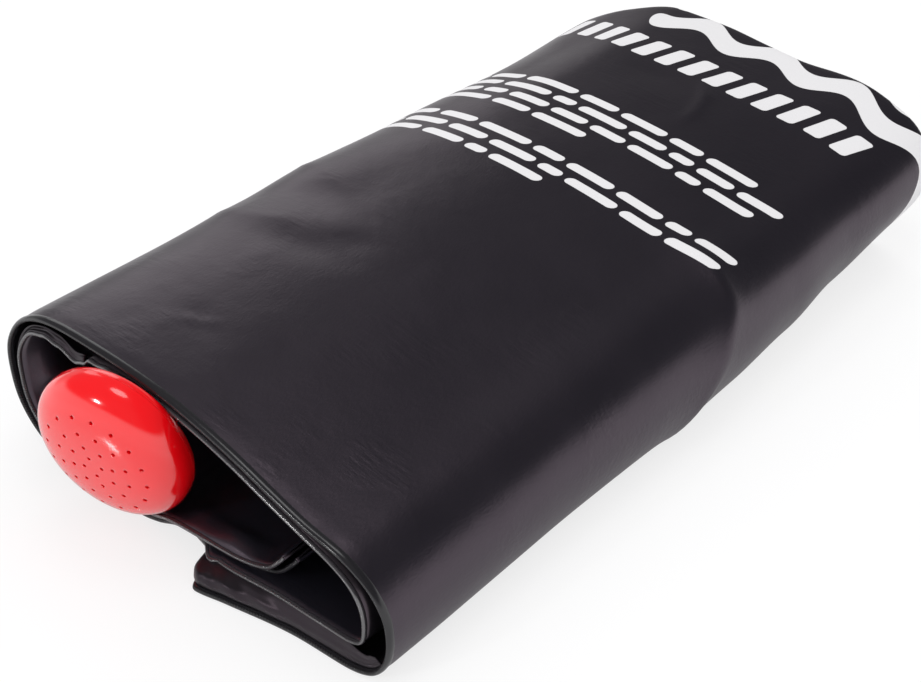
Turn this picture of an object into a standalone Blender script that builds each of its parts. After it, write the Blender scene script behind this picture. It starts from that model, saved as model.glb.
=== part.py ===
# Camp shower bag, folded for storage, with its spray head in the mouth of the fold.
# X runs across the folded bag, Y from its open near end to its far fold, Z up.
import math

import bmesh
import bpy
from mathutils import Matrix, Vector

# Driving sizes of the folded bag, metres
FOLD_WIDTH = 0.1615
FOLD_HEIGHT = 0.059
FOLD_LENGTH = 0.293
FILM_WALL = 0.0007
PLY_GAP = 0.0005
HALVES_GAP = 0.0011
SEAT_GAP = 0.0003
CUT_OVERRUN = 0.0004

# The wrap's outer face, from the lower flap's free end round to the inner flap's curled end.
# Near end, then far end: across in half widths, up in heights, along in lengths.
WRAP_SHARES = (
    (0.047, 0.000, -0.019, -0.071, 0.000, 0.968),
    (0.141, 0.000, -0.039, 0.094, 0.000, 0.974),
    (0.282, 0.000, -0.032, 0.282, 0.000, 0.977),
    (0.541, 0.000, -0.019, 0.541, 0.000, 0.981),
    (0.776, 0.000, -0.016, 0.776, 0.000, 0.984),
    (0.894, 0.032, -0.013, 0.894, 0.032, 0.984),
    (0.953, 0.137, -0.010, 0.970, 0.145, 0.981),
    (0.971, 0.290, -0.008, 1.024, 0.306, 0.982),
    (0.959, 0.452, -0.006, 1.053, 0.484, 0.988),
    (0.906, 0.581, -0.006, 1.024, 0.645, 1.002),
    (0.800, 0.669, -0.006, 0.906, 0.750, 1.022),
    (0.612, 0.726, -0.005, 0.671, 0.815, 1.042),
    (0.447, 0.790, -0.003, 0.471, 0.855, 1.053),
    (0.259, 0.863, 0.000, 0.259, 0.887, 1.055),
    (0.047, 0.927, 0.003, 0.047, 0.911, 1.058),
    (-0.188, 0.976, 0.005, -0.188, 0.935, 1.062),
    (-0.494, 1.000, 0.006, -0.471, 0.944, 1.062),
    (-0.776, 0.976, 0.008, -0.706, 0.911, 1.032),
    (-0.941, 0.879, 0.008, -0.871, 0.823, 0.994),
    (-1.047, 0.694, 0.008, -0.976, 0.661, 0.981),
    (-1.082, 0.484, 0.009, -1.012, 0.452, 0.977),
    (-1.047, 0.242, 0.008, -0.988, 0.226, 0.974),
    (-0.941, 0.065, 0.008, -0.894, 0.065, 0.974),
    (-0.776, 0.000, 0.006, -0.776, 0.000, 0.974),
    (-0.329, 0.000, 0.002, -0.329, 0.000, 0.974),
    (-0.212, 0.032, 0.000, -0.212, 0.032, 0.974),
    (-0.094, 0.103, -0.003, -0.094, 0.103, 0.974),
    (0.071, 0.145, -0.006, 0.071, 0.145, 0.974),
    (0.282, 0.148, -0.003, 0.282, 0.148, 0.974),
    (0.424, 0.194, 0.000, 0.424, 0.194, 0.974),
    (0.518, 0.323, 0.000, 0.518, 0.323, 0.974),
    (0.565, 0.435, 0.000, 0.565, 0.435, 0.974),
    (0.612, 0.548, 0.000, 0.612, 0.548, 0.974),
)
FLOOR_SEGMENT = 23
FLOOR_MARGIN = 0.0008
EYELET_SEGMENTS = {"left": 15, "right": 12}
RUN_SHARES = (0.0, 0.1, 0.25, 0.42, 0.6, 0.78, 0.92, 1.0)
FOLD_STEPS = 4

# Depths through the wrap: two halves of the bag, each a front and a back film
FRONT_DEPTH = FILM_WALL / 2
BACK_DEPTH = FRONT_DEPTH + FILM_WALL + PLY_GAP
INNER_BACK_DEPTH = BACK_DEPTH + FILM_WALL + HALVES_GAP
INNER_FRONT_DEPTH = INNER_BACK_DEPTH + FILM_WALL + PLY_GAP
WRAP_WALL = INNER_FRONT_DEPTH + FILM_WALL / 2

# Spray head: its rim plane's centre and the way it faces
HEAD_ACROSS_SHARE = -0.2898
HEAD_UP_SHARE = 0.5915
HEAD_PROUD = 0.0092
HEAD_FACING_SHARE = (0.206, -0.971, -0.12)
HEAD_R = 0.0264
HEAD_WALL = 0.0018
DOME_H = 0.0086
DOME_EDGE_H = 0.0009
FACE_LAP = 0.0045
BAND_DEPTH = 0.0066
BACK_EDGE_SHARE = 0.9
BACK_EDGE_DEPTH = 0.0083
BACK_MID_SHARE = 0.6
BACK_MID_DEPTH = 0.0108
BACK_ROOT_SHARE = 0.485
BACK_ROOT_DEPTH = 0.0146
NECK_R = 0.0100
NECK_START = 0.0190
NECK_END = 0.0480
SEAL_BORE_R = 0.0050
SEAL_BORE_START = 0.0195
SEAL_BORE_END = 0.0270
SLIDE_BORE_R = 0.0076
HEAD_TRAVEL = 0.0075
HOLE_R = 0.0006
HOLE_SIDES = 5
HOLE_RING_SHARES = ((0.129, 4), (0.288, 8), (0.473, 12), (0.678, 16))
DOME_STEPS = 6

# Valve stem that the head slides on, its depths taken from the seal bore's front
STEM_CLEARANCE = 0.0005
STEM_TIP_SET = 0.0007
STEM_BORE_R = 0.0024
STEM_TIP_WALL = 0.0026
FRONT_RING_SET = 0.0023
PORT_R = 0.0008
PORT_SET = 0.0051
STOP_GAP = 0.0004
STOP_LENGTH = 0.0056
COLLAR_FLANGE = 0.0024
SHOULDER_R = 0.0055
SHOULDER_LENGTH = 0.0022
SHOULDER_GAP = 0.0019
STEM_BARB_LENGTH = 0.0132
GROOVE_DEPTH = 0.0012
GROOVE_WIDTH = 0.0022
RING_WIRE_R = 0.0006

# Hose and its push-on spigots
HOSE_R = 0.0040
HOSE_BORE_R = 0.0031
BARB_CLEARANCE = 0.0006
BARB_RIDGE = 0.0004
BARB_BORE_R = 0.0014
BARB_RIDGES = 3
BARB_CREST_SHARE = 0.6
BARB_STEP_SHARE = 0.7
HOSE_CLEARANCE = 0.0008
HOSE_END_GAP = 0.0008
CLIP_WALL = 0.0012
CLIP_LENGTH = 0.0060
CLIP_INSET = 0.0035

# Places along the hose, by eye: across in half widths, along in lengths, and how far it
# rises off the hollow's floor in heights. The two bends are half turns in plan, and the last
# two places are shares of the way from the near bend to the outlet.
HOSE_FALL_SHARES = (
    (-0.570, 0.300, 0.537),
    (-0.656, 0.386, 0.394),
    (-0.755, 0.471, 0.207),
    (-0.824, 0.546, 0.083),
    (-0.842, 0.611, 0.046),
)
FAR_BEND_CENTRE_SHARES = (-0.347, 0.662)
FAR_BEND_REACH_SHARES = (0.495, 0.137)
FAR_BEND_RISE_SHARES = (0.043, 0.018, 0.000, 0.029, 0.105, 0.147, 0.150)
HOSE_RUN_SHARES = (
    (0.136, 0.553, 0.147),
    (0.124, 0.437, 0.147),
)
NEAR_BEND_CENTRE_SHARES = (-0.285, 0.324)
NEAR_BEND_REACH_SHARES = (0.409, -0.113)
NEAR_BEND_RISE_SHARES = (0.147, 0.144, 0.116, 0.058, 0.006, 0.002, 0.008)
HOSE_RISE_SHARES = (
    (0.105, 0.30, 0.20),
    (0.480, 0.62, 0.58),
)
ROUTE_STEPS = 12

# Filler on the hollow's floor
FILLER_ACROSS_SHARE = -0.5523
FILLER_ALONG_SHARE = 0.8805
FLANGE_R = 0.0160
FLANGE_T = 0.0012
PATCH_R = 0.0172
PATCH_T = 0.0005
NECK_OUTER_R = 0.0115
NECK_BORE_R = 0.0095
NECK_H = 0.0140
NECK_FOOT_R = 0.0130
NECK_FOOT_H = 0.0004
CAP_CLEARANCE = 0.0004
CAP_WALL = 0.0021
CAP_TOP = 0.0020
CAP_SKIRT_UP = 0.0056
CAP_RIB_PROUD = 0.0008
CAP_RIB_WIDTH = 0.0016
CAP_RIBS = 18
SEAL_T = 0.0012
KNOB_R = 0.0030
KNOB_H = 0.0030
KNOB_HEAD_R = 0.0042
KNOB_HEAD_T = 0.0012
TETHER_T = 0.0012
TETHER_WIDTH = 0.0050
TETHER_RING_WALL = 0.0026
TETHER_RING_UP = 0.0020
TETHER_GAP = 0.0016

# Outlet on the hollow's floor
OUTLET_ACROSS_SHARE = -0.5523
OUTLET_ALONG_SHARE = 0.5631
OUTLET_FLANGE_R = 0.0130
OUTLET_PATCH_R = 0.0142
SOCKET_R = 0.0076
SOCKET_BORE_R = 0.0055
SOCKET_H = 0.0082
SOCKET_FLOOR = 0.0014
PLUG_CLEARANCE = 0.0005
ELBOW_R = 0.0066
ELBOW_H = 0.0090
ELBOW_CROWN = 0.0016
OUTLET_BARB_LENGTH = 0.0134

# Eyelets in the top seam
EYELET_ALONG = 0.014
EYELET_BARREL_R = 0.0032
EYELET_WALL = 0.0005
EYELET_FLANGE_R = 0.0060
EYELET_FLANGE_T = 0.0004
EYELET_LIP_R = 0.0044
WASHER_R = 0.0062
WASHER_T = 0.0005

ROUND_STEPS = 24
SMALL_STEPS = 12
RING_STEPS = 6
SMOOTH_ANGLE = math.radians(35)
TIDY_DISTANCE = 0.00001

FRONT_TINT = (0.016, 0.016, 0.018, 1.0)
BACK_TINT = (0.02, 0.02, 0.023, 1.0)
RED_TINT = (0.72, 0.012, 0.022, 1.0)
BLACK_TINT = (0.018, 0.018, 0.019, 1.0)
RUBBER_TINT = (0.012, 0.012, 0.012, 1.0)
HOSE_TINT = (0.03, 0.03, 0.032, 1.0)
METAL_TINT = (0.62, 0.6, 0.56, 1.0)

# Sizes and places that follow from those above
HEAD_ACROSS = FOLD_WIDTH / 2 * HEAD_ACROSS_SHARE
HEAD_ALONG = -HEAD_PROUD
HEAD_UP = FOLD_HEIGHT * HEAD_UP_SHARE
FILLER_ACROSS = FOLD_WIDTH / 2 * FILLER_ACROSS_SHARE
FILLER_ALONG = FOLD_LENGTH * FILLER_ALONG_SHARE
OUTLET_ACROSS = FOLD_WIDTH / 2 * OUTLET_ACROSS_SHARE
OUTLET_ALONG = FOLD_LENGTH * OUTLET_ALONG_SHARE
STEM_R = SEAL_BORE_R - STEM_CLEARANCE
STOP_R = SLIDE_BORE_R - STEM_CLEARANCE
STEM_TIP = SEAL_BORE_START + STEM_TIP_SET
FRONT_RING_AT = SEAL_BORE_START + FRONT_RING_SET
STOP_FRONT = SEAL_BORE_END + STOP_GAP
REAR_RING_AT = STOP_FRONT + STOP_LENGTH / 2
SHOULDER_START = NECK_END + SEAT_GAP + COLLAR_FLANGE + SHOULDER_GAP
SHOULDER_END = SHOULDER_START + SHOULDER_LENGTH
STEM_END = SHOULDER_END + STEM_BARB_LENGTH
BARB_TIP_R = HOSE_BORE_R - BARB_CLEARANCE
BARB_ROOT_R = BARB_TIP_R - BARB_RIDGE
PLUG_R = SOCKET_BORE_R - PLUG_CLEARANCE
PLUG_LENGTH = SOCKET_H - SOCKET_FLOOR - SEAT_GAP * 2
OUTLET_BARB_REACH = ELBOW_R + OUTLET_BARB_LENGTH
OUTLET_HOSE_AT = ELBOW_R + HOSE_END_GAP
CAP_BORE_R = NECK_OUTER_R + CAP_CLEARANCE
CAP_OUTER_R = CAP_BORE_R + CAP_WALL
TETHER_REACH = CAP_OUTER_R + CAP_RIB_PROUD + TETHER_GAP + TETHER_T

for old in list(bpy.data.objects):
    bpy.data.objects.remove(old)

parts = bpy.data.collections.new("camp_shower_bag")
cutters = bpy.data.collections.new("cutters")
bpy.context.scene.collection.children.link(parts)
bpy.context.scene.collection.children.link(cutters)


def make_material(name, tint, roughness, metallic=0.0):
    material = bpy.data.materials.new(name)
    material.use_nodes = True
    shader = material.node_tree.nodes["Principled BSDF"]
    shader.inputs["Base Color"].default_value = tint
    shader.inputs["Roughness"].default_value = roughness
    shader.inputs["Metallic"].default_value = metallic
    material.diffuse_color = tint
    return material


def add_part(name, mesh, finish):
    part = bpy.data.objects.new(name, mesh)
    parts.objects.link(part)
    mesh.materials.append(make_material(name, *finish))
    return part


def add_cutter(name, mesh):
    cutter = bpy.data.objects.new(name, mesh)
    cutters.objects.link(cutter)
    cutter.hide_render = True
    cutter.display_type = "WIRE"
    return cutter


def profile_mesh(name, profile, closed):
    # The outline of a turned piece, drawn in the XZ plane
    shape = bmesh.new()
    verts = [shape.verts.new((radius, 0.0, height)) for radius, height in profile]
    for first, second in zip(verts, verts[1:]):
        shape.edges.new((first, second))
    if closed:
        shape.edges.new((verts[-1], verts[0]))
    mesh = bpy.data.meshes.new(name)
    shape.to_mesh(mesh)
    shape.free()
    return mesh


def turn(part, steps):
    screw = part.modifiers.new("turn", "SCREW")
    screw.axis = "Z"
    screw.steps = steps
    screw.render_steps = steps
    screw.use_merge_vertices = True
    screw.merge_threshold = TIDY_DISTANCE
    return part


def turned(name, profile, finish, steps=ROUND_STEPS, closed=True):
    return turn(add_part(name, profile_mesh(name, profile, closed), finish), steps)


def turned_cutter(name, profile, steps=SMALL_STEPS):
    return turn(add_cutter(name, profile_mesh(name, profile, False)), steps)


def rod_profile(radius, top, bottom):
    return [(0.0, top), (radius, top), (radius, bottom), (0.0, bottom)]


def boolean(part, tool, operation):
    step = part.modifiers.new(tool.name, "BOOLEAN")
    step.operation = operation
    step.solver = "EXACT"
    step.object = tool


def place(part, frame):
    part.matrix_world = frame
    return part


def smooth(part):
    for face in part.data.polygons:
        face.use_smooth = True
    part.data.set_sharp_from_angle(angle=SMOOTH_ANGLE)


# Wrap geometry

def wrap_section(along):
    # The outer face's outline at a share of the way from the near edge to the far fold,
    # with a flat floor wide enough for the filler's patch
    outline = []
    for near_x, near_z, _, far_x, far_z, _ in WRAP_SHARES:
        across = near_x + (far_x - near_x) * along
        up = near_z + (far_z - near_z) * along
        outline.append(Vector((across * FOLD_WIDTH / 2, up * FOLD_HEIGHT)))
    outline[FLOOR_SEGMENT].x = FILLER_ACROSS - PATCH_R - FLOOR_MARGIN
    outline[FLOOR_SEGMENT + 1].x = FILLER_ACROSS + PATCH_R + FLOOR_MARGIN
    return outline


def inset(outline, depth):
    # Moves an open outline to its left, keeping the distance on both sides of each corner
    moved = []
    for index, point in enumerate(outline):
        before = outline[max(index - 1, 0)]
        after = outline[min(index + 1, len(outline) - 1)]
        into = (point - before).normalized() if index else (after - point).normalized()
        out = (after - point).normalized() if index < len(outline) - 1 else into
        normal = Vector((-(into.y + out.y), into.x + out.x)).normalized()
        corner = normal.dot(Vector((-into.y, into.x)))
        moved.append(point + normal * (depth / corner))
    return moved


def wrap_row(along, reach, depth):
    # One row of film points across the wrap, reach past the place where the fold starts
    row = []
    for shares, point in zip(WRAP_SHARES, inset(wrap_section(along), depth)):
        near_y = shares[2] * FOLD_LENGTH
        fold_y = shares[5] * FOLD_LENGTH - WRAP_WALL / 2
        row.append(Vector((point.x, near_y + (fold_y - near_y) * along + reach, point.y)))
    return row


def film(name, outer_depth, inner_depth, finish):
    # One film of the bag: along the outer half, round the far fold and back inside
    radius = (inner_depth - outer_depth) / 2
    middle = (inner_depth + outer_depth) / 2
    rows = [wrap_row(share, 0.0, outer_depth) for share in RUN_SHARES]
    for step in range(1, FOLD_STEPS):
        angle = math.pi * step / FOLD_STEPS
        rows.append(wrap_row(1.0, radius * math.sin(angle), middle - radius * math.cos(angle)))
    rows += [wrap_row(share, 0.0, inner_depth) for share in reversed(RUN_SHARES)]
    shape = bmesh.new()
    grid = [[shape.verts.new(point) for point in row] for row in rows]
    for low, high in zip(grid, grid[1:]):
        for index in range(len(low) - 1):
            shape.faces.new((low[index], low[index + 1], high[index + 1], high[index]))
    mesh = bpy.data.meshes.new(name)
    shape.to_mesh(mesh)
    shape.free()
    part = add_part(name, mesh, finish)
    wall = part.modifiers.new("wall", "SOLIDIFY")
    wall.thickness = FILM_WALL
    wall.offset = 0.0
    wall.use_even_offset = True
    return part


def film_frame(segment, y, depth):
    # Frame on the film between two outline points: Z along the inward normal, X along the film
    near_y = WRAP_SHARES[segment][2] * FOLD_LENGTH
    fold_y = WRAP_SHARES[segment][5] * FOLD_LENGTH - WRAP_WALL / 2
    points = inset(wrap_section((y - near_y) / (fold_y - near_y)), depth)
    start = Vector((points[segment].x, y, points[segment].y))
    end = Vector((points[segment + 1].x, y, points[segment + 1].y))
    x_axis = (end - start).normalized()
    z_axis = Vector((-x_axis.z, 0.0, x_axis.x))
    frame = Matrix((x_axis, z_axis.cross(x_axis), z_axis)).transposed().to_4x4()
    frame.translation = (start + end) / 2
    return frame


def floor_height():
    # The film's top face on the flat floor of the hollow
    return WRAP_SHARES[FLOOR_SEGMENT][1] * FOLD_HEIGHT + WRAP_WALL


# Bag films

def make_films():
    front = film("front_panel", FRONT_DEPTH, INNER_FRONT_DEPTH, (FRONT_TINT, 0.42))
    back = film("back_panel", BACK_DEPTH, INNER_BACK_DEPTH, (BACK_TINT, 0.3))
    top = floor_height() + PATCH_T
    bottom = floor_height() - FILM_WALL - PLY_GAP / 2
    filler_hole = turned_cutter("filler_hole", rod_profile(NECK_BORE_R, top, bottom))
    filler_hole.location = (FILLER_ACROSS, FILLER_ALONG, 0.0)
    outlet_hole = turned_cutter("outlet_hole", rod_profile(BARB_TIP_R, top, bottom))
    outlet_hole.location = (OUTLET_ACROSS, OUTLET_ALONG, 0.0)
    boolean(front, filler_hole, "DIFFERENCE")
    boolean(front, outlet_hole, "DIFFERENCE")
    return front, back


# Spray head and its valve, along the head's own axis: Z forward, the rim plane at zero

def head_frame():
    facing = Vector(HEAD_FACING_SHARE).normalized()
    turn_to = facing.to_track_quat("Z", "Y").to_matrix().to_4x4()
    turn_to.translation = (HEAD_ACROSS, HEAD_ALONG, HEAD_UP)
    return turn_to


def dome_height(radius):
    flatness = (radius / HEAD_R) ** 2
    return DOME_EDGE_H + (DOME_H - DOME_EDGE_H) * math.sqrt(max(0.0, 1.0 - flatness * flatness))


def dome_points(radius, drop):
    # Points from the middle of the dome out to a radius
    radii = [radius * math.sin(math.pi / 2 * step / DOME_STEPS) for step in range(DOME_STEPS)]
    return [(r, dome_height(r) - drop) for r in radii]


def make_head_face(frame):
    lap_r = HEAD_R - HEAD_WALL - SEAT_GAP
    outer = dome_points(HEAD_R, 0.0)
    inner = dome_points(lap_r - HEAD_WALL, HEAD_WALL)
    profile = outer + [
        (HEAD_R, DOME_EDGE_H),
        (HEAD_R, -SEAT_GAP),
        (lap_r, -SEAT_GAP),
        (lap_r, -FACE_LAP),
        (lap_r - HEAD_WALL, -FACE_LAP),
        (lap_r - HEAD_WALL, DOME_EDGE_H),
    ] + list(reversed(inner))
    face = turned("head_face", profile, (RED_TINT, 0.2), closed=False)
    holes = bmesh.new()
    for ring_share, number in HOLE_RING_SHARES:
        ring_r = HEAD_R * ring_share
        for index in range(number):
            angle = math.tau * (index + ring_share) / number
            spot = Matrix.Translation((ring_r * math.cos(angle), ring_r * math.sin(angle), DOME_H / 2))
            bmesh.ops.create_cone(
                holes, cap_ends=True, segments=HOLE_SIDES, radius1=HOLE_R, radius2=HOLE_R,
                depth=DOME_H * 2, matrix=spot)
    mesh = bpy.data.meshes.new("spray_holes")
    holes.to_mesh(mesh)
    holes.free()
    boolean(face, place(add_cutter("spray_holes", mesh), frame), "DIFFERENCE")
    place(face, frame)


def make_head_body(frame):
    band_front = -2 * SEAT_GAP
    inner_r = HEAD_R - HEAD_WALL
    mid_r = HEAD_R * BACK_MID_SHARE
    root_r = HEAD_R * BACK_ROOT_SHARE
    profile = [
        (HEAD_R, band_front),
        (HEAD_R, -BAND_DEPTH),
        (HEAD_R * BACK_EDGE_SHARE, -BACK_EDGE_DEPTH),
        (mid_r, -BACK_MID_DEPTH),
        (root_r, -BACK_ROOT_DEPTH),
        (NECK_R, -NECK_START),
        (NECK_R, -NECK_END),
        (SLIDE_BORE_R, -NECK_END),
        (SLIDE_BORE_R, -SEAL_BORE_END),
        (SEAL_BORE_R, -SEAL_BORE_END),
        (SEAL_BORE_R, -SEAL_BORE_START),
        (root_r - HEAD_WALL, -BACK_ROOT_DEPTH + HEAD_WALL / 2),
        (mid_r - HEAD_WALL, -BACK_MID_DEPTH + HEAD_WALL),
        (inner_r, -BAND_DEPTH + HEAD_WALL / 2),
        (inner_r, band_front),
    ]
    place(turned("head_body", profile, (RED_TINT, 0.22)), frame)


def barb_points(start, end):
    # Ridges of a push-on spigot, from its shoulder to its tip, along falling heights
    pitch = (start - end) / BARB_RIDGES
    points = [(BARB_ROOT_R, start)]
    for ridge in range(BARB_RIDGES):
        foot = start - pitch * (ridge + 1)
        points.append((BARB_ROOT_R, foot + pitch * BARB_STEP_SHARE))
        points.append((BARB_TIP_R, foot + pitch * BARB_CREST_SHARE))
        points.append((BARB_ROOT_R, foot))
    return points


def make_valve_stem(frame):
    ring_half = GROOVE_WIDTH / 2
    stop_rear = STOP_FRONT + STOP_LENGTH
    profile = [
        (0.0, -STEM_TIP),
        (STEM_R, -STEM_TIP),
        (STEM_R, -FRONT_RING_AT + ring_half),
        (STEM_R - GROOVE_DEPTH, -FRONT_RING_AT + ring_half),
        (STEM_R - GROOVE_DEPTH, -FRONT_RING_AT - ring_half),
        (STEM_R, -FRONT_RING_AT - ring_half),
        (STEM_R, -STOP_FRONT),
        (STOP_R, -STOP_FRONT),
        (STOP_R, -REAR_RING_AT + ring_half),
        (STOP_R - GROOVE_DEPTH, -REAR_RING_AT + ring_half),
        (STOP_R - GROOVE_DEPTH, -REAR_RING_AT - ring_half),
        (STOP_R, -REAR_RING_AT - ring_half),
        (STOP_R, -stop_rear),
        (STEM_R, -stop_rear),
        (STEM_R, -SHOULDER_START),
        (SHOULDER_R, -SHOULDER_START),
        (SHOULDER_R, -SHOULDER_END),
    ] + barb_points(-SHOULDER_END, -STEM_END) + [
        (BARB_BORE_R, -STEM_END),
        (BARB_BORE_R, -SHOULDER_END),
        (STEM_BORE_R, -SHOULDER_START),
        (STEM_BORE_R, -STEM_TIP - STEM_TIP_WALL),
        (0.0, -STEM_TIP - STEM_TIP_WALL),
    ]
    stem = turned("valve_stem", profile, (BLACK_TINT, 0.35), SMALL_STEPS, closed=False)
    port = turned_cutter("stem_port", rod_profile(PORT_R, STOP_R, -STOP_R), HOLE_SIDES)
    port_spot = Matrix.Translation((0.0, 0.0, -SEAL_BORE_START - PORT_SET))
    place(port, frame @ port_spot @ Matrix.Rotation(math.pi / 2, 4, "X"))
    boolean(stem, port, "DIFFERENCE")
    place(stem, frame)


def ring_profile(radius, height, wire):
    # A round section, taken from its top down the outer side
    angles = [math.pi / 2 - math.tau * step / RING_STEPS for step in range(RING_STEPS)]
    return [(radius + wire * math.cos(a), height + wire * math.sin(a)) for a in angles]


def make_stem_rings(frame):
    seat = GROOVE_DEPTH - SEAT_GAP - RING_WIRE_R
    front = ring_profile(STEM_R - seat, -FRONT_RING_AT, RING_WIRE_R)
    rear = ring_profile(STOP_R - seat, -REAR_RING_AT, RING_WIRE_R)
    place(turned("stem_o_ring_front", front, (RUBBER_TINT, 0.5), SMALL_STEPS), frame)
    place(turned("stem_o_ring_rear", rear, (RUBBER_TINT, 0.5), SMALL_STEPS), frame)


def make_neck_collar(frame):
    front = STOP_FRONT + STOP_LENGTH + HEAD_TRAVEL + STOP_GAP
    seat = NECK_END + SEAT_GAP
    bore = STEM_R + SEAT_GAP
    profile = [
        (SLIDE_BORE_R - SEAT_GAP, -front),
        (SLIDE_BORE_R - SEAT_GAP, -seat),
        (NECK_R, -seat),
        (NECK_R, -seat - COLLAR_FLANGE),
        (bore, -seat - COLLAR_FLANGE),
        (bore, -front),
    ]
    place(turned("neck_collar", profile, (BLACK_TINT, 0.35)), frame)


# Hose, from the stem's spigot along the hollow's floor to the outlet

def on_head_axis(frame, back):
    return frame @ Vector((0.0, 0.0, -back))


def hose_spot(across, along, rise):
    # A place of the hose's middle line, rise heights above where it lies on the flat floor
    lowest = floor_height() + HOSE_CLEARANCE + HOSE_R
    return Vector((across * FOLD_WIDTH / 2, along * FOLD_LENGTH, lowest + rise * FOLD_HEIGHT))


def bend(centre, reach, first_angle, last_angle, rises):
    # A half turn in plan, with one of its evenly spaced points for each rise
    points = []
    for index, rise in enumerate(rises):
        angle = first_angle + (last_angle - first_angle) * index / (len(rises) - 1)
        across = centre[0] + reach[0] * math.cos(angle)
        points.append(hose_spot(across, centre[1] + reach[1] * math.sin(angle), rise))
    return points


def hose_route(frame):
    outlet = Vector((OUTLET_ACROSS, OUTLET_ALONG - OUTLET_HOSE_AT, outlet_barb_height()))
    barb_end = outlet + Vector((0.0, OUTLET_HOSE_AT - OUTLET_BARB_REACH, 0.0))
    route = [on_head_axis(frame, SHOULDER_END + SEAT_GAP), on_head_axis(frame, STEM_END)]
    route.append(on_head_axis(frame, STEM_END + HOSE_R * 2))
    route += [hose_spot(*shares) for shares in HOSE_FALL_SHARES]
    route += bend(FAR_BEND_CENTRE_SHARES, FAR_BEND_REACH_SHARES, math.pi, 0.0, FAR_BEND_RISE_SHARES)
    route += [hose_spot(*shares) for shares in HOSE_RUN_SHARES]
    route += bend(NEAR_BEND_CENTRE_SHARES, NEAR_BEND_REACH_SHARES, 0.0, math.pi, NEAR_BEND_RISE_SHARES)
    bend_end = route[-1]
    for across, along, up in HOSE_RISE_SHARES:
        way = barb_end - bend_end
        route.append(bend_end + Vector((way.x * across, way.y * along, way.z * up)))
    route += [barb_end + Vector((0.0, -HOSE_R, 0.0)), barb_end, outlet]
    return route


def smooth_route(points, spacing):
    # Evenly spaced points on the smooth curve through the route's own points
    padded = [points[0] * 2 - points[1]] + points + [points[-1] * 2 - points[-2]]
    fine = []
    for index in range(1, len(padded) - 2):
        a, b, c, d = padded[index - 1:index + 3]
        for step in range(ROUTE_STEPS):
            t = step / ROUTE_STEPS
            bow = (a * -1 + b * 3 - c * 3 + d) * t ** 3 + (a * 2 - b * 5 + c * 4 - d) * t ** 2
            fine.append((bow + (c - a) * t + b * 2) / 2)
    fine.append(points[-1])
    even = [fine[0]]
    walked = 0.0
    for first, second in zip(fine, fine[1:]):
        walked += (second - first).length
        if walked >= spacing:
            even.append(second)
            walked = 0.0
    even[-1] = fine[-1]
    return even


def curve_solid(name, curve):
    # A curve's body as a mesh, with its caps joined to its sides
    holder = bpy.data.objects.new(name, curve)
    cutters.objects.link(holder)
    reader = bpy.context.evaluated_depsgraph_get()
    mesh = bpy.data.meshes.new_from_object(holder.evaluated_get(reader))
    bpy.data.objects.remove(holder)
    shape = bmesh.new()
    shape.from_mesh(mesh)
    bmesh.ops.remove_doubles(shape, verts=shape.verts, dist=TIDY_DISTANCE)
    bmesh.ops.recalc_face_normals(shape, faces=shape.faces)
    shape.to_mesh(mesh)
    shape.free()
    mesh.materials.clear()
    return mesh


def add_points(curve, points):
    spline = curve.splines.new("POLY")
    spline.points.add(len(points) - 1)
    for spot, point in zip(spline.points, points):
        spot.co = (*point, 1.0)
    return spline


def tube_mesh(name, points, radius):
    curve = bpy.data.curves.new(name, "CURVE")
    curve.dimensions = "3D"
    curve.bevel_depth = radius
    curve.bevel_resolution = 2
    curve.use_fill_caps = True
    add_points(curve, points)
    return curve_solid(name, curve)


def make_hose(frame):
    route = smooth_route(hose_route(frame), HOSE_R * 2)
    hose = add_part("hose", tube_mesh("hose", route, HOSE_R), (HOSE_TINT, 0.25))
    ahead = route[0] + (route[0] - route[1]).normalized() * CUT_OVERRUN
    behind = route[-1] + (route[-1] - route[-2]).normalized() * CUT_OVERRUN
    bore_route = [ahead] + route[1:-1] + [behind]
    bore = add_cutter("hose_bore", tube_mesh("hose_bore", bore_route, HOSE_BORE_R))
    boolean(hose, bore, "DIFFERENCE")


def make_hose_clip(name, frame):
    # A ring round the hose, its near end at the frame's origin and running up the frame's Z
    inner = HOSE_R + SEAT_GAP
    profile = [
        (inner + CLIP_WALL, CLIP_LENGTH),
        (inner + CLIP_WALL, 0.0),
        (inner, 0.0),
        (inner, CLIP_LENGTH),
    ]
    place(turned(name, profile, (BLACK_TINT, 0.4), SMALL_STEPS), frame)


def make_hose_clips(frame):
    stem_side = frame @ Matrix.Translation((0.0, 0.0, -SHOULDER_END - CLIP_INSET - CLIP_LENGTH))
    along = OUTLET_ALONG - OUTLET_HOSE_AT - CLIP_INSET
    outlet_side = Matrix.Translation((OUTLET_ACROSS, along, outlet_barb_height()))
    outlet_side = outlet_side @ Matrix.Rotation(math.pi / 2, 4, "X")
    make_hose_clip("hose_clip_stem", stem_side)
    make_hose_clip("hose_clip_outlet", outlet_side)


# Outlet

def patch_bottom():
    return floor_height() + SEAT_GAP


def flange_bottom():
    return patch_bottom() + PATCH_T + SEAT_GAP


def make_patch(name, radius, bore, spot):
    # Round reinforcing film under a welded fitting
    low = patch_bottom()
    profile = [(radius, low + PATCH_T), (radius, low), (bore, low), (bore, low + PATCH_T)]
    patch = turned(name, profile, (BACK_TINT, 0.4))
    patch.location = (*spot, 0.0)


def outlet_top():
    return flange_bottom() + SOCKET_H


def outlet_barb_height():
    return outlet_top() + SEAT_GAP + ELBOW_H / 2


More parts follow.
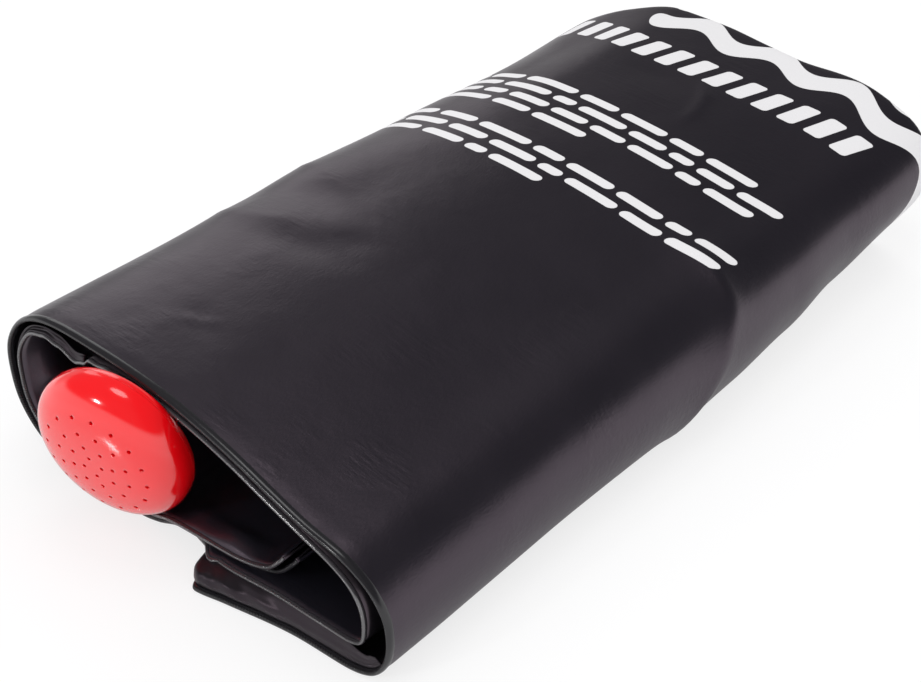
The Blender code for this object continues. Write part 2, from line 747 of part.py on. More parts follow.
def make_outlet_flange():
    low = flange_bottom()
    profile = [
        (SOCKET_R, outlet_top()),
        (SOCKET_R, low + FLANGE_T),
        (OUTLET_FLANGE_R, low + FLANGE_T),
        (OUTLET_FLANGE_R, low),
        (BARB_TIP_R, low),
        (BARB_TIP_R, low + SOCKET_FLOOR),
        (SOCKET_BORE_R, low + SOCKET_FLOOR),
        (SOCKET_BORE_R, outlet_top()),
    ]
    flange = turned("outlet_flange", profile, (BLACK_TINT, 0.35))
    flange.location = (OUTLET_ACROSS, OUTLET_ALONG, 0.0)


def make_outlet_elbow():
    seat = outlet_top() + SEAT_GAP
    crown = seat + ELBOW_H
    groove = seat - PLUG_LENGTH / 2
    groove_r = PLUG_R - GROOVE_DEPTH
    profile = [
        (0.0, crown + ELBOW_CROWN),
        (ELBOW_R / 2, crown + ELBOW_CROWN),
        (ELBOW_R, crown),
        (ELBOW_R, seat),
        (PLUG_R, seat),
        (PLUG_R, groove + GROOVE_WIDTH / 2),
        (groove_r, groove + GROOVE_WIDTH / 2),
        (groove_r, groove - GROOVE_WIDTH / 2),
        (PLUG_R, groove - GROOVE_WIDTH / 2),
        (PLUG_R, seat - PLUG_LENGTH),
        (STEM_BORE_R, seat - PLUG_LENGTH),
        (STEM_BORE_R, outlet_barb_height() + STEM_BORE_R),
        (0.0, outlet_barb_height() + STEM_BORE_R),
    ]
    elbow = turned("outlet_elbow", profile, (BLACK_TINT, 0.35), SMALL_STEPS, closed=False)
    elbow.location = (OUTLET_ACROSS, OUTLET_ALONG, 0.0)
    lie_down = Matrix.Translation((OUTLET_ACROSS, OUTLET_ALONG, outlet_barb_height()))
    lie_down = lie_down @ Matrix.Rotation(-math.pi / 2, 4, "X")
    in_wall = (STEM_BORE_R + ELBOW_R) / 2
    spigot = [(0.0, -in_wall), (BARB_ROOT_R, -in_wall)]
    spigot += barb_points(-ELBOW_R, -OUTLET_BARB_REACH) + [(0.0, -OUTLET_BARB_REACH)]
    boolean(elbow, place(turned_cutter("outlet_spigot", spigot), lie_down), "UNION")
    side_bore = turned_cutter("outlet_side_bore", rod_profile(
        BARB_BORE_R, 0.0, -OUTLET_BARB_REACH - CUT_OVERRUN))
    boolean(elbow, place(side_bore, lie_down), "DIFFERENCE")
    ring = ring_profile(groove_r + SEAT_GAP + RING_WIRE_R, groove, RING_WIRE_R)
    seal = turned("outlet_o_ring", ring, (RUBBER_TINT, 0.5), SMALL_STEPS)
    seal.location = (OUTLET_ACROSS, OUTLET_ALONG, 0.0)


# Filler

def make_filler():
    low = flange_bottom()
    neck_top = low + NECK_H
    seal_low = neck_top + SEAT_GAP
    roof = seal_low + SEAL_T + SEAT_GAP
    cap_top = roof + CAP_TOP
    knob_top = cap_top + KNOB_H
    spout = turned("fill_spout", [
        (NECK_OUTER_R, neck_top),
        (NECK_OUTER_R, low + FLANGE_T + NECK_FOOT_H),
        (NECK_FOOT_R, low + FLANGE_T),
        (FLANGE_R, low + FLANGE_T),
        (FLANGE_R, low),
        (NECK_BORE_R, low),
        (NECK_BORE_R, neck_top),
    ], (BLACK_TINT, 0.35))
    cap = turned("fill_cap", [
        (0.0, knob_top + KNOB_HEAD_T),
        (KNOB_HEAD_R, knob_top + KNOB_HEAD_T),
        (KNOB_HEAD_R, knob_top),
        (KNOB_R, knob_top),
        (KNOB_R, cap_top),
        (CAP_OUTER_R, cap_top),
        (CAP_OUTER_R, low + CAP_SKIRT_UP),
        (CAP_BORE_R, low + CAP_SKIRT_UP),
        (CAP_BORE_R, roof),
        (0.0, roof),
    ], (RED_TINT, 0.3), closed=False)
    rib_h = cap_top - low - CAP_SKIRT_UP - CAP_WALL
    ribs = bmesh.new()
    for index in range(CAP_RIBS):
        around = Matrix.Rotation(math.tau * index / CAP_RIBS, 4, "Z")
        out = Matrix.Translation((CAP_OUTER_R, 0.0, low + CAP_SKIRT_UP + CAP_WALL / 2 + rib_h / 2))
        size = Matrix.Diagonal((CAP_RIB_PROUD * 2, CAP_RIB_WIDTH, rib_h, 1.0))
        bmesh.ops.create_cube(ribs, size=1.0, matrix=around @ out @ size)
    rib_mesh = bpy.data.meshes.new("cap_ribs")
    ribs.to_mesh(rib_mesh)
    ribs.free()
    rib_tool = add_cutter("cap_ribs", rib_mesh)
    boolean(cap, rib_tool, "UNION")
    seal = turned("cap_seal", [
        (NECK_OUTER_R, seal_low + SEAL_T),
        (NECK_OUTER_R, seal_low),
        (NECK_BORE_R, seal_low),
        (NECK_BORE_R, seal_low + SEAL_T),
    ], (RUBBER_TINT, 0.5))
    tether = make_tether(low + FLANGE_T + TETHER_RING_UP, cap_top + SEAT_GAP)
    for piece in (spout, cap, rib_tool, seal, tether):
        piece.location = (FILLER_ACROSS, FILLER_ALONG, 0.0)


def make_tether(ring_low, loop_low):
    # A ring on the neck, a strap up past the cap and a loop round the cap's knob
    outer = CAP_BORE_R + TETHER_RING_WALL
    tether = turned("cap_tether", [
        (outer, ring_low + TETHER_T),
        (outer, ring_low),
        (CAP_BORE_R, ring_low),
        (CAP_BORE_R, ring_low + TETHER_T),
    ], (BLACK_TINT, 0.4))
    loop_r = KNOB_R + CAP_CLEARANCE
    loop = turn(add_cutter("tether_loop", profile_mesh("tether_loop", [
        (loop_r + TETHER_RING_WALL, loop_low + TETHER_T),
        (loop_r + TETHER_RING_WALL, loop_low),
        (loop_r, loop_low),
        (loop_r, loop_low + TETHER_T),
    ], True)), SMALL_STEPS)
    side = bpy.data.curves.new("tether_strap", "CURVE")
    side.dimensions = "2D"
    side.fill_mode = "BOTH"
    side.extrude = TETHER_WIDTH / 2
    ring_mid = (CAP_BORE_R + outer) / 2
    loop_mid = loop_r + TETHER_RING_WALL / 2
    outline = (
        (ring_mid, ring_low),
        (TETHER_REACH, ring_low),
        (TETHER_REACH, loop_low + TETHER_T),
        (loop_mid, loop_low + TETHER_T),
        (loop_mid, loop_low),
        (TETHER_REACH - TETHER_T, loop_low),
        (TETHER_REACH - TETHER_T, ring_low + TETHER_T),
        (ring_mid, ring_low + TETHER_T),
    )
    spline = add_points(side, [(reach, up, 0.0) for reach, up in outline])
    spline.use_cyclic_u = True
    mesh = curve_solid("tether_strap", side)
    mesh.transform(Matrix.Rotation(math.pi / 2, 4, "Z") @ Matrix.Rotation(math.pi / 2, 4, "X"))
    strap = add_cutter("tether_strap", mesh)
    for tool in (loop, strap):
        tool.location = (FILLER_ACROSS, FILLER_ALONG, 0.0)
        boolean(tether, tool, "UNION")
    return tether


# Eyelets through the inner half of the top seam

def make_eyelet(side, films):
    segment = EYELET_SEGMENTS[side]
    half_gap = HALVES_GAP / 2
    frame = film_frame(segment, EYELET_ALONG, 0.0)
    low = INNER_BACK_DEPTH - FILM_WALL / 2 - half_gap - EYELET_FLANGE_T / 2
    washer_low = WRAP_WALL + SEAT_GAP
    lip_low = washer_low + WASHER_T + SEAT_GAP
    inner = EYELET_BARREL_R - EYELET_WALL
    barrel = turned("eyelet_" + side, [
        (EYELET_LIP_R, lip_low + EYELET_FLANGE_T),
        (EYELET_LIP_R, lip_low),
        (EYELET_BARREL_R, lip_low),
        (EYELET_BARREL_R, low + EYELET_FLANGE_T),
        (EYELET_FLANGE_R, low + EYELET_FLANGE_T),
        (EYELET_FLANGE_R, low),
        (inner, low),
        (inner, lip_low + EYELET_FLANGE_T),
    ], (METAL_TINT, 0.3, 1.0), SMALL_STEPS)
    washer = turned("eyelet_washer_" + side, [
        (WASHER_R, washer_low + WASHER_T),
        (WASHER_R, washer_low),
        (EYELET_BARREL_R + SEAT_GAP, washer_low),
        (EYELET_BARREL_R + SEAT_GAP, washer_low + WASHER_T),
    ], (METAL_TINT, 0.3, 1.0), SMALL_STEPS)
    hole = turned_cutter("eyelet_hole_" + side, rod_profile(
        EYELET_BARREL_R + SEAT_GAP, lip_low, low))
    for piece in (barrel, washer, hole):
        place(piece, frame)
    for film_part in films:
        boolean(film_part, hole, "DIFFERENCE")


# Whole object, with its footprint centred on the origin

def centre_footprint():
    bpy.context.view_layer.update()
    reader = bpy.context.evaluated_depsgraph_get()
    corners = []
    for part in parts.objects:
        shown = part.evaluated_get(reader)
        corners += [part.matrix_world @ vert.co for vert in shown.data.vertices]
    middle = Vector((
        (min(c.x for c in corners) + max(c.x for c in corners)) / 2,
        (min(c.y for c in corners) + max(c.y for c in corners)) / 2,
        min(c.z for c in corners)))
    for piece in list(parts.objects) + list(cutters.objects):
        piece.matrix_world = Matrix.Translation(-middle) @ piece.matrix_world


def build():
    films = make_films()
    for side in EYELET_SEGMENTS:
        make_eyelet(side, films)
    frame = head_frame()
    make_head_face(frame)
    make_head_body(frame)
    make_neck_collar(frame)
    make_valve_stem(frame)
    make_stem_rings(frame)
    make_hose(frame)
    make_hose_clips(frame)
    outlet_spot = (OUTLET_ACROSS, OUTLET_ALONG)
    make_patch("outlet_patch", OUTLET_PATCH_R, BARB_TIP_R + SEAT_GAP, outlet_spot)
    make_outlet_flange()
    make_outlet_elbow()
    make_patch("spout_patch", PATCH_R, NECK_BORE_R + SEAT_GAP, (FILLER_ACROSS, FILLER_ALONG))
    make_filler()
    for part in parts.objects:
        if part.name not in ("front_panel", "back_panel"):
            smooth(part)
    centre_footprint()


build()
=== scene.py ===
import math

import bmesh
import bpy
from mathutils import Matrix, Vector


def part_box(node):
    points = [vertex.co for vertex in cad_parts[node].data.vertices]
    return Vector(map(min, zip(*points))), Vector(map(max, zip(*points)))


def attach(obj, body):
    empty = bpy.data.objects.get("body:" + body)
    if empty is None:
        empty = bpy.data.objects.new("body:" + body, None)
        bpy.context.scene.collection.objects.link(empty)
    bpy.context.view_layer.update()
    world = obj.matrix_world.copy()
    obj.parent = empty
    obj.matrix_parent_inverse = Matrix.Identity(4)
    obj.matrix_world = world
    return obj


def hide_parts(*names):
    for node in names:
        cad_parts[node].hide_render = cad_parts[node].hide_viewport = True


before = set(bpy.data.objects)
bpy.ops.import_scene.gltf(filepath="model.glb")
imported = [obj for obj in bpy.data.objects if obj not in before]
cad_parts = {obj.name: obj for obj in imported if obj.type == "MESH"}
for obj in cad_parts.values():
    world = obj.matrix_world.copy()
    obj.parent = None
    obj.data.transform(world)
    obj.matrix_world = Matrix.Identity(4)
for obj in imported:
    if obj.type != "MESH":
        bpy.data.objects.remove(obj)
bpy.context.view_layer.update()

# Camp shower bag, folded up for storage, with its spray head in the mouth of the fold
scene = bpy.context.scene
scene.view_settings.view_transform = "Standard"


class Flow:
    # A shader socket that can be added, scaled and compared like a number
    def __init__(self, tree, socket=None):
        self.tree = tree
        self.socket = socket

    def node(self, kind, settings=None, inputs=None, output=0):
        made = self.tree.nodes.new("ShaderNode" + kind)
        for name, value in (settings or {}).items():
            setattr(made, name, value)
        for name, value in (inputs or {}).items():
            if isinstance(value, Flow):
                self.tree.links.new(value.socket, made.inputs[name])
            else:
                made.inputs[name].default_value = value
        return Flow(self.tree, made.outputs[output] if made.outputs else None)

    def sums(self, operation, first, second=0.0):
        return self.node("Math", {"operation": operation}, {0: first, 1: second})

    def __add__(self, other):
        return self.sums("ADD", self, other)

    def __radd__(self, other):
        return self.sums("ADD", other, self)

    def __sub__(self, other):
        return self.sums("SUBTRACT", self, other)

    def __rsub__(self, other):
        return self.sums("SUBTRACT", other, self)

    def __mul__(self, other):
        return self.sums("MULTIPLY", self, other)

    def __rmul__(self, other):
        return self.sums("MULTIPLY", other, self)

    def __gt__(self, other):
        return self.sums("GREATER_THAN", self, other)

    def __lt__(self, other):
        return self.sums("LESS_THAN", self, other)

    def least(self, other):
        return self.sums("MINIMUM", self, other)

    def most(self, other):
        return self.sums("MAXIMUM", self, other)

    def wave(self):
        return self.sums("SINE", self)

    def size(self):
        return self.sums("ABSOLUTE", self)

    def root(self):
        return self.sums("SQRT", self)

    def wrap(self, length):
        return self.node("Math", {"operation": "WRAP"}, {0: self, 1: length, 2: 0.0})

    def fade(self, start, end):
        # Smooth step from 0 at start to 1 at end
        return self.node("MapRange", {"interpolation_type": "SMOOTHSTEP"},
                         {"Value": self, "From Min": start, "From Max": end})


def mixColour(flow, share, first, second):
    return flow.node("Mix", {"data_type": "RGBA"}, {0: share, 6: first, 7: second}, 2)


def startMaterial(name):
    material = bpy.data.materials.new(name)
    material.use_nodes = True
    material.node_tree.nodes.clear()
    return material, Flow(material.node_tree)


def closeMaterial(flow, shader):
    flow.node("OutputMaterial", None, {"Surface": shader})


def closePrincipled(flow, inputs):
    closeMaterial(flow, flow.node("BsdfPrincipled", None, inputs))


def objectPlace(flow, scale=(1.0, 1.0, 1.0), turn=(0.0, 0.0, 0.0)):
    place = flow.node("TexCoord", None, None, 3)
    return flow.node("Mapping", None, {"Vector": place, "Scale": scale, "Rotation": turn})


def noise(flow, place, scale, detail=3.0, roughness=0.5):
    return flow.node("TexNoise", None, {
        "Vector": place, "Scale": scale, "Detail": detail, "Roughness": roughness})


def bump(flow, height, distance, strength=1.0, before=None):
    inputs = {"Height": height, "Distance": distance, "Strength": strength}
    if before:
        inputs["Normal"] = before
    return flow.node("Bump", None, inputs)


making = {"mergeGap": 0.000002, "sharpAngle": 38, "cutShare": 0.45}


def held(name, data, place=Matrix()):
    # A mesh, lamp or camera as an object of the scene
    holder = bpy.data.objects.new(name, data)
    holder.matrix_world = place
    scene.collection.objects.link(holder)
    return holder


def linked(name, shape):
    mesh = bpy.data.meshes.new(name)
    shape.to_mesh(mesh)
    shape.free()
    return held(name, mesh)


def aimed(place, way):
    # A frame with its Z along a way
    return Matrix.Translation(place) @ way.to_track_quat("Z", "Y").to_matrix().to_4x4()


def frameOf(axes, place):
    turned = Matrix(axes).transposed().to_4x4()
    turned.translation = place
    return turned


def finished(name, shape, place=Matrix(), smooth=True):
    # Faces turned outward, then the piece put in its place
    bmesh.ops.recalc_face_normals(shape, faces=shape.faces)
    for face in shape.faces:
        face.smooth = smooth
    shape.transform(place)
    return linked(name, shape)


def addWall(piece, thickness, offset):
    wall = piece.modifiers.new("wall", "SOLIDIFY")
    wall.thickness = thickness
    wall.offset = offset


def applyModifiers(piece):
    reader = bpy.context.evaluated_depsgraph_get()
    mesh = bpy.data.meshes.new_from_object(piece.evaluated_get(reader))
    piece.modifiers.clear()
    piece.data = mesh


def combine(piece, tool, operation, sharp=True):
    # Cuts or joins another mesh, then takes it away
    step = piece.modifiers.new("combine", "BOOLEAN")
    step.operation = operation
    step.solver = "EXACT"
    step.object = tool
    bpy.context.view_layer.update()
    applyModifiers(piece)
    bpy.data.objects.remove(tool)
    if sharp:
        piece.data.set_sharp_from_angle(angle=math.radians(making["sharpAngle"]))


def rounded(profile, radius, steps=3):
    # Rounds the inner corners of an outline of points
    softened = [profile[0]]
    for before, corner, after in zip(profile, profile[1:], profile[2:]):
        corner = Vector(corner)
        into = Vector(before) - corner
        out = Vector(after) - corner
        cut = min(radius, into.length * making["cutShare"], out.length * making["cutShare"])
        start = corner + into.normalized() * cut
        end = corner + out.normalized() * cut
        for step in range(steps + 1):
            t = step / steps
            softened.append(tuple(start * (1 - t) ** 2 + corner * 2 * t * (1 - t) + end * t * t))
    softened.append(profile[-1])
    return softened


def spun(name, profile, steps, place, closed=True):
    # A turned piece: its outline spun round its own upright axis, then put in place
    shape = bmesh.new()
    verts = [shape.verts.new((radius, 0.0, height)) for radius, height in profile]
    edges = [shape.edges.new(pair) for pair in zip(verts, verts[1:])]
    if closed:
        edges.append(shape.edges.new((verts[-1], verts[0])))
    bmesh.ops.spin(shape, geom=verts + edges, cent=(0.0, 0.0, 0.0), axis=(0.0, 0.0, 1.0),
                   angle=math.tau, steps=steps, use_merge=True)
    bmesh.ops.remove_doubles(shape, verts=shape.verts, dist=making["mergeGap"])
    return finished(name, shape, place)


def dress(piece, finish, body, node):
    # Its material, the body that it moves with and the solid that it stands for
    material, slot = finish
    piece.data.materials.clear()
    piece.data.materials.append(material)
    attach(piece, body)
    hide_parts(node)


view = {
    "azimuth": 40.01,
    "elevation": 36.71,
    "distance": 0.56856,
    "target": (0.01361, -0.035, 0.02375),
    "lens": 66.62,
    "sensor": 36.0,
    "nearest": 0.01,
}


def addCamera():
    across = math.radians(view["azimuth"])
    up = math.radians(view["elevation"])
    back = Vector((math.sin(across) * math.cos(up), -math.cos(across) * math.cos(up), math.sin(up)))
    right = Vector((math.cos(across), math.sin(across), 0.0))
    at = Vector(view["target"]) + back * view["distance"]
    lens = bpy.data.cameras.new("photoView")
    lens.lens = view["lens"]
    lens.sensor_width = view["sensor"]
    lens.clip_start = view["nearest"]
    scene.camera = held("photoView", lens, frameOf((right, back.cross(right), back), at))


lamps = {
    "topBox": {"at": (-0.240, -1.085, 0.600), "aim": (-0.02, -0.16, 0.06), "size": 0.11, "power": 1.6},
    "topSheet": {"at": (-0.08, 0.06, 1.30), "aim": (0.0, 0.0, 0.0), "size": 0.50, "power": 1.6},
    "backSheet": {"at": (-1.05, 0.70, 0.60), "aim": (0.0, 0.0, 0.03), "size": 0.75, "power": 1.45},
}


def addLamps():
    for name, lamp in lamps.items():
        light = bpy.data.lights.new(name, "AREA")
        light.shape = "DISK"
        light.size = lamp["size"]
        light.energy = lamp["power"]
        held(name, light, aimed(lamp["at"], Vector(lamp["at"]) - Vector(lamp["aim"])))


room = {
    "plain": 0.92,
    "sweep": (0.20, 0.38),
    "roof": (0.125, 0.035),
    "beside": (0.8, 0.6, 0.0),
    "roofFade": (0.05, 0.50),
    "behind": (-0.643, 0.766, 0.0),
    "behindFade": (0.35, 0.80),
    "behindDim": 0.75,
}


def addRoom():
    # White to the camera, a white sweep low down and a dimmer roof to everything else
    world = bpy.data.worlds.new("room")
    world.use_nodes = True
    world.node_tree.nodes.clear()
    world.cycles.sampling_method = "NONE"
    scene.world = world
    flow = Flow(world.node_tree)
    direction = flow.node("TexCoord", None, None, 0)
    height = flow.node("SeparateXYZ", None, {0: direction}, 2)
    behind = flow.node("VectorMath", {"operation": "DOT_PRODUCT"}, {0: direction, 1: room["behind"]}, 1)
    low = (1.0 - height.fade(*room["sweep"])) * (1.0 - room["behindDim"] * behind.fade(*room["behindFade"]))
    beside = flow.node("VectorMath", {"operation": "DOT_PRODUCT"}, {0: direction, 1: room["beside"]}, 1)
    roof = room["roof"][0] + (room["roof"][1] - room["roof"][0]) * beside.fade(*room["roofFade"])
    level = roof + (1.0 - roof) * low
    camera = flow.node("LightPath", None, None, 0)
    soft = flow.node("LightPath", None, None, 2)
    level = level + soft * (room["plain"] - level)
    strength = camera + (1.0 - camera) * level
    shade = flow.node("Background", None, {"Color": (1.0, 1.0, 1.0, 1.0), "Strength": strength})
    flow.node("OutputWorld", None, {"Surface": shade})


ground = {
    "paper": (0.86, 0.86, 0.87, 1.0),
    "polish": 0.12,
    "polishShare": 0.20,
    "glow": 1.08,
    "glowShare": 0.30,
    "glowSeen": 0.38,
    "half": 2.5,
    "cells": 8,
}


def addFloor():
    # Pale paper with a faint polish, brightened where the camera sees it
    white = (1.0, 1.0, 1.0, 1.0)
    material, flow = startMaterial("paleFloor")
    paper = flow.node("BsdfDiffuse", None, {"Color": ground["paper"]})
    polish = flow.node("BsdfAnisotropic", None, {"Color": white, "Roughness": ground["polish"]})
    glow = flow.node("Emission", None, {"Color": white, "Strength": ground["glow"]})
    camera = flow.node("LightPath", None, None, 0)
    shown = ground["polishShare"] - camera * ground["polishShare"]
    paper = flow.node("MixShader", None, {0: shown, 1: paper, 2: polish})
    lit = ground["glowShare"] + camera * ground["glowSeen"]
    closeMaterial(flow, flow.node("MixShader", None, {0: lit, 1: paper, 2: glow}))
    shape = bmesh.new()
    bmesh.ops.create_grid(shape, x_segments=ground["cells"], y_segments=ground["cells"], size=ground["half"])
    floor = linked("paleFloor", shape)
    floor.data.materials.append(material)


addCamera()
addLamps()
addRoom()
addFloor()
print("camera, lamps and floor in place")


# The bag, folded in half and wrapped: sizes in metres, outline as in the part's own source
fold = {
    "length": 0.293,
    "wall": 0.0049,
    "film": 0.0006,
    "hemLength": 0.006,
    "outerHemDepth": 0.00095,
    "innerHemDepth": 0.00395,
    "hemGap": 0.00031,
    # Near end, then far end: across in half widths, up in heights, along in lengths
    "sectionShares": (
        (0.047, 0.000, -0.019, -0.071, 0.000, 0.968),
        (0.141, 0.000, -0.039, 0.094, 0.000, 0.974),
        (0.282, 0.000, -0.032, 0.282, 0.000, 0.977),
        (0.541, 0.000, -0.019, 0.541, 0.000, 0.981),
        (0.776, 0.000, -0.016, 0.776, 0.000, 0.984),
        (0.894, 0.032, -0.013, 0.894, 0.032, 0.984),
        (0.953, 0.137, -0.010, 0.970, 0.145, 0.981),
        (0.971, 0.290, -0.008, 1.024, 0.306, 0.982),
        (0.959, 0.452, -0.006, 1.053, 0.484, 0.988),
        (0.906, 0.581, -0.006, 1.024, 0.645, 1.002),
        (0.800, 0.669, -0.006, 0.906, 0.750, 1.022),
        (0.612, 0.726, -0.005, 0.671, 0.815, 1.042),
        (0.447, 0.790, -0.003, 0.471, 0.855, 1.053),
        (0.259, 0.863, 0.000, 0.259, 0.887, 1.055),
        (0.047, 0.927, 0.003, 0.047, 0.911, 1.058),
        (-0.188, 0.976, 0.005, -0.188, 0.935, 1.062),
        (-0.494, 1.000, 0.006, -0.471, 0.944, 1.062),
        (-0.776, 0.976, 0.008, -0.706, 0.911, 1.032),
        (-0.941, 0.879, 0.008, -0.871, 0.823, 0.994),
        (-1.047, 0.694, 0.008, -0.976, 0.661, 0.981),
        (-1.082, 0.484, 0.009, -1.012, 0.452, 0.977),
        (-1.047, 0.242, 0.008, -0.988, 0.226, 0.974),
        (-0.941, 0.065, 0.008, -0.894, 0.065, 0.974),
        (-0.776, 0.000, 0.006, -0.776, 0.000, 0.974),
        (-0.329, 0.000, 0.002, -0.329, 0.000, 0.974),
        (-0.212, 0.032, 0.000, -0.212, 0.032, 0.974),
        (-0.094, 0.103, -0.003, -0.094, 0.103, 0.974),
        (0.071, 0.145, -0.006, 0.071, 0.145, 0.974),
        (0.282, 0.148, -0.003, 0.282, 0.148, 0.974),
        (0.424, 0.194, 0.000, 0.424, 0.194, 0.974),
        (0.518, 0.323, 0.000, 0.518, 0.323, 0.974),
        (0.565, 0.435, 0.000, 0.565, 0.435, 0.974),
        (0.612, 0.548, 0.000, 0.612, 0.548, 0.974),
    ),
    "across": 240,
    "rows": (140, 8, 44),
    "rowPowers": (1.15, 1.3),
    "cutReach": 0.0012,
    "topShares": (0.27, 0.31, 0.60, 0.64),
    "sideShares": (0.14, 0.19, 0.28, 0.34),
    "innerTail": 0.024,
    "lapTrim": 0.012,
    "lapTrimLength": 0.08,
    "endTrim": 0.0024,
    "endTrimLength": 0.014,
    "nearShare": 0.12,
    "corner": 0.0075,
    "rounding": 0.0125,
    "roundedShares": (0.24, 0.30),
    "tailLength": 0.11,
    "tailDrop": 0.0030,
    "tailBack": 0.0070,
    "tailBackShare": 0.3,
    "spreadLength": 0.085,
    # How far the inner half stands off the outer one near the rim: share of the girth, metres
    "spreadShares": (
        (0.00, 0.0042), (0.06, 0.0050), (0.13, 0.0054), (0.20, 0.0056), (0.25, 0.0030),
        (0.32, 0.0007), (0.40, 0.0004), (0.50, 0.0003), (0.54, 0.0010), (0.60, 0.0014),
        (0.66, 0.0012), (0.72, 0.0004), (1.00, 0.0000)),
    # How far the inner half's near rim lies back behind the outer one
    "setBackShares": (
        (0.00, 0.0045), (0.02, 0.0065), (0.05, 0.0056), (0.09, 0.0032), (0.14, 0.0012),
        (0.20, 0.0000), (0.78, 0.0000), (0.86, -0.0012), (1.00, -0.0012)),
    # How far the lap's outer half lies back under its inner one
    "lapBackShares": ((0.00, 0.0), (0.79, 0.0), (0.86, 0.0014), (1.00, 0.0014)),
    # The inner half's top pulled down into wrinkles beside the spray head
    "pinchShares": (
        (0.00, 0.0), (0.44, 0.0), (0.470, 0.0008), (0.492, 0.0016), (0.505, 0.0025), (0.511, 0.0024),
        (0.519, 0.0050), (0.527, 0.0062), (0.545, 0.0034), (0.562, 0.0014), (0.585, 0.0002), (1.00, 0.0)),
    "pinchLength": 0.024,
}

# Bulges of the inner half into the mouth: where round the girth, how far in, their reach and depth
bulges = (
    {"girthShare": 0.640, "inward": 0.0100, "girthReach": 0.036, "inReach": 0.0065, "depth": 0.0046},
    {"girthShare": 0.600, "inward": 0.0060, "girthReach": 0.016, "inReach": 0.0030, "depth": 0.0014},
    {"girthShare": 0.690, "inward": 0.0070, "girthReach": 0.012, "inReach": 0.0040, "depth": 0.0016},
    {"girthShare": 0.330, "inward": 0.0160, "girthReach": 0.030, "inReach": 0.0080, "depth": 0.0016},
    {"girthShare": 0.905, "inward": 0.0048, "girthReach": 0.020, "inReach": 0.0023, "depth": 0.0040},
    {"girthShare": 0.872, "inward": 0.0062, "girthReach": 0.010, "inReach": 0.0028, "depth": 0.0022},
    {"girthShare": 0.655, "inward": 0.0110, "girthReach": 0.007, "inReach": 0.0042, "depth": 0.0022},
)

# Swells of the film: where round the girth, then metres at shares of the length,
# outward from the film, across the bag or along it
swells = {
    "rightFoot": {
        "way": "across",
        "girthShares": (0.04, 0.15, 0.195, 0.262),
        "lengthShares": ((0.0, 0.0038), (0.1, 0.0042), (0.25, 0.0043), (0.45, 0.0056), (0.6, 0.0062),
                         (0.72, 0.0048), (0.85, 0.0015), (1.0, -0.0006)),
    },
    "farCorner": {
        "way": "out",
        "girthShares": (0.18, 0.225, 0.30, 0.38),
        "lengthShares": ((0.0, 0.0), (0.78, 0.0), (1.0, 0.0028)),
    },
    "farReach": {
        "way": "along",
        "girthShares": (0.17, 0.235, 0.30, 0.38),
        "lengthShares": ((0.0, 0.0), (0.70, 0.0), (1.0, 0.0036)),
    },
    "leftShoulder": {
        "way": "out",
        "girthShares": (0.50, 0.555, 0.585, 0.63),
        "lengthShares": ((0.0, 0.0), (0.2, -0.0004), (0.4, 0.0008), (0.6, -0.0008), (0.85, -0.0026),
                         (1.0, -0.0010)),
    },
}

# Soft dents of the top, each by its middle, its two reaches, its turn and its outward height
dents = (
    {"at": (-0.030, -0.062), "reach": (0.021, 0.0075), "turn": 12, "height": -0.0008},
    {"at": (-0.019, -0.050), "reach": (0.009, 0.0050), "turn": 20, "height": -0.0005},
    {"at": (-0.056, -0.040), "reach": (0.020, 0.013), "turn": 25, "height": -0.0013},
    {"at": (-0.025, -0.113), "reach": (0.008, 0.005), "turn": -15, "height": -0.0005},
    {"at": (-0.012, 0.112), "reach": (0.012, 0.008), "turn": -20, "height": -0.0006},
    {"at": (0.030, -0.040), "reach": (0.030, 0.060), "turn": 0, "height": -0.0008},
    {"at": (0.010, 0.030), "reach": (0.040, 0.050), "turn": 10, "height": 0.0006},
)

# Sharp folds in the film: the line they follow seen from above, width and outward height
creases = (
    {"line": ((-0.078, -0.0585), (-0.063, -0.061), (-0.049, -0.0565), (-0.0395, -0.054)),
     "width": 0.0046, "height": 0.0007},
    {"line": ((-0.078, -0.0185), (-0.060, -0.022), (-0.0388, -0.031)), "width": 0.0048, "height": 0.0007},
    {"line": ((0.0036, 0.1213), (0.0104, 0.1125), (0.0138, 0.1013), (0.0139, 0.0906)),
     "width": 0.0022, "height": 0.0009},
    {"line": ((-0.031, -0.1160), (-0.024, -0.1135), (-0.019, -0.1095)), "width": 0.002, "height": 0.0006},
)
creaseFade = {"widths": 4, "ends": 4, "leastShare": 0.35}

# The fold down the right side, seen from the side: along, up
sideCrease = {
    "line": ((0.0330, 0.046), (0.0280, 0.042), (0.0230, 0.036), (0.0155, 0.030), (-0.0010, 0.015),
             (-0.0115, 0.005)),
    "width": 0.0070,
    "height": 0.0022,
}


def slopes(places, values):
    # Slopes of a smooth curve through the values that never swings past them
    found = []
    for index in range(len(values)):
        before = max(index - 1, 0)
        after = min(index + 1, len(values) - 1)
        rise = values[after] - values[before]
        slope = rise / (places[after] - places[before])
        if 0 < index < len(values) - 1:
            into = values[index] - values[before]
            out = values[after] - values[index]
            if into * out <= 0.0:
                slope = 0.0
        found.append(slope)
    return found


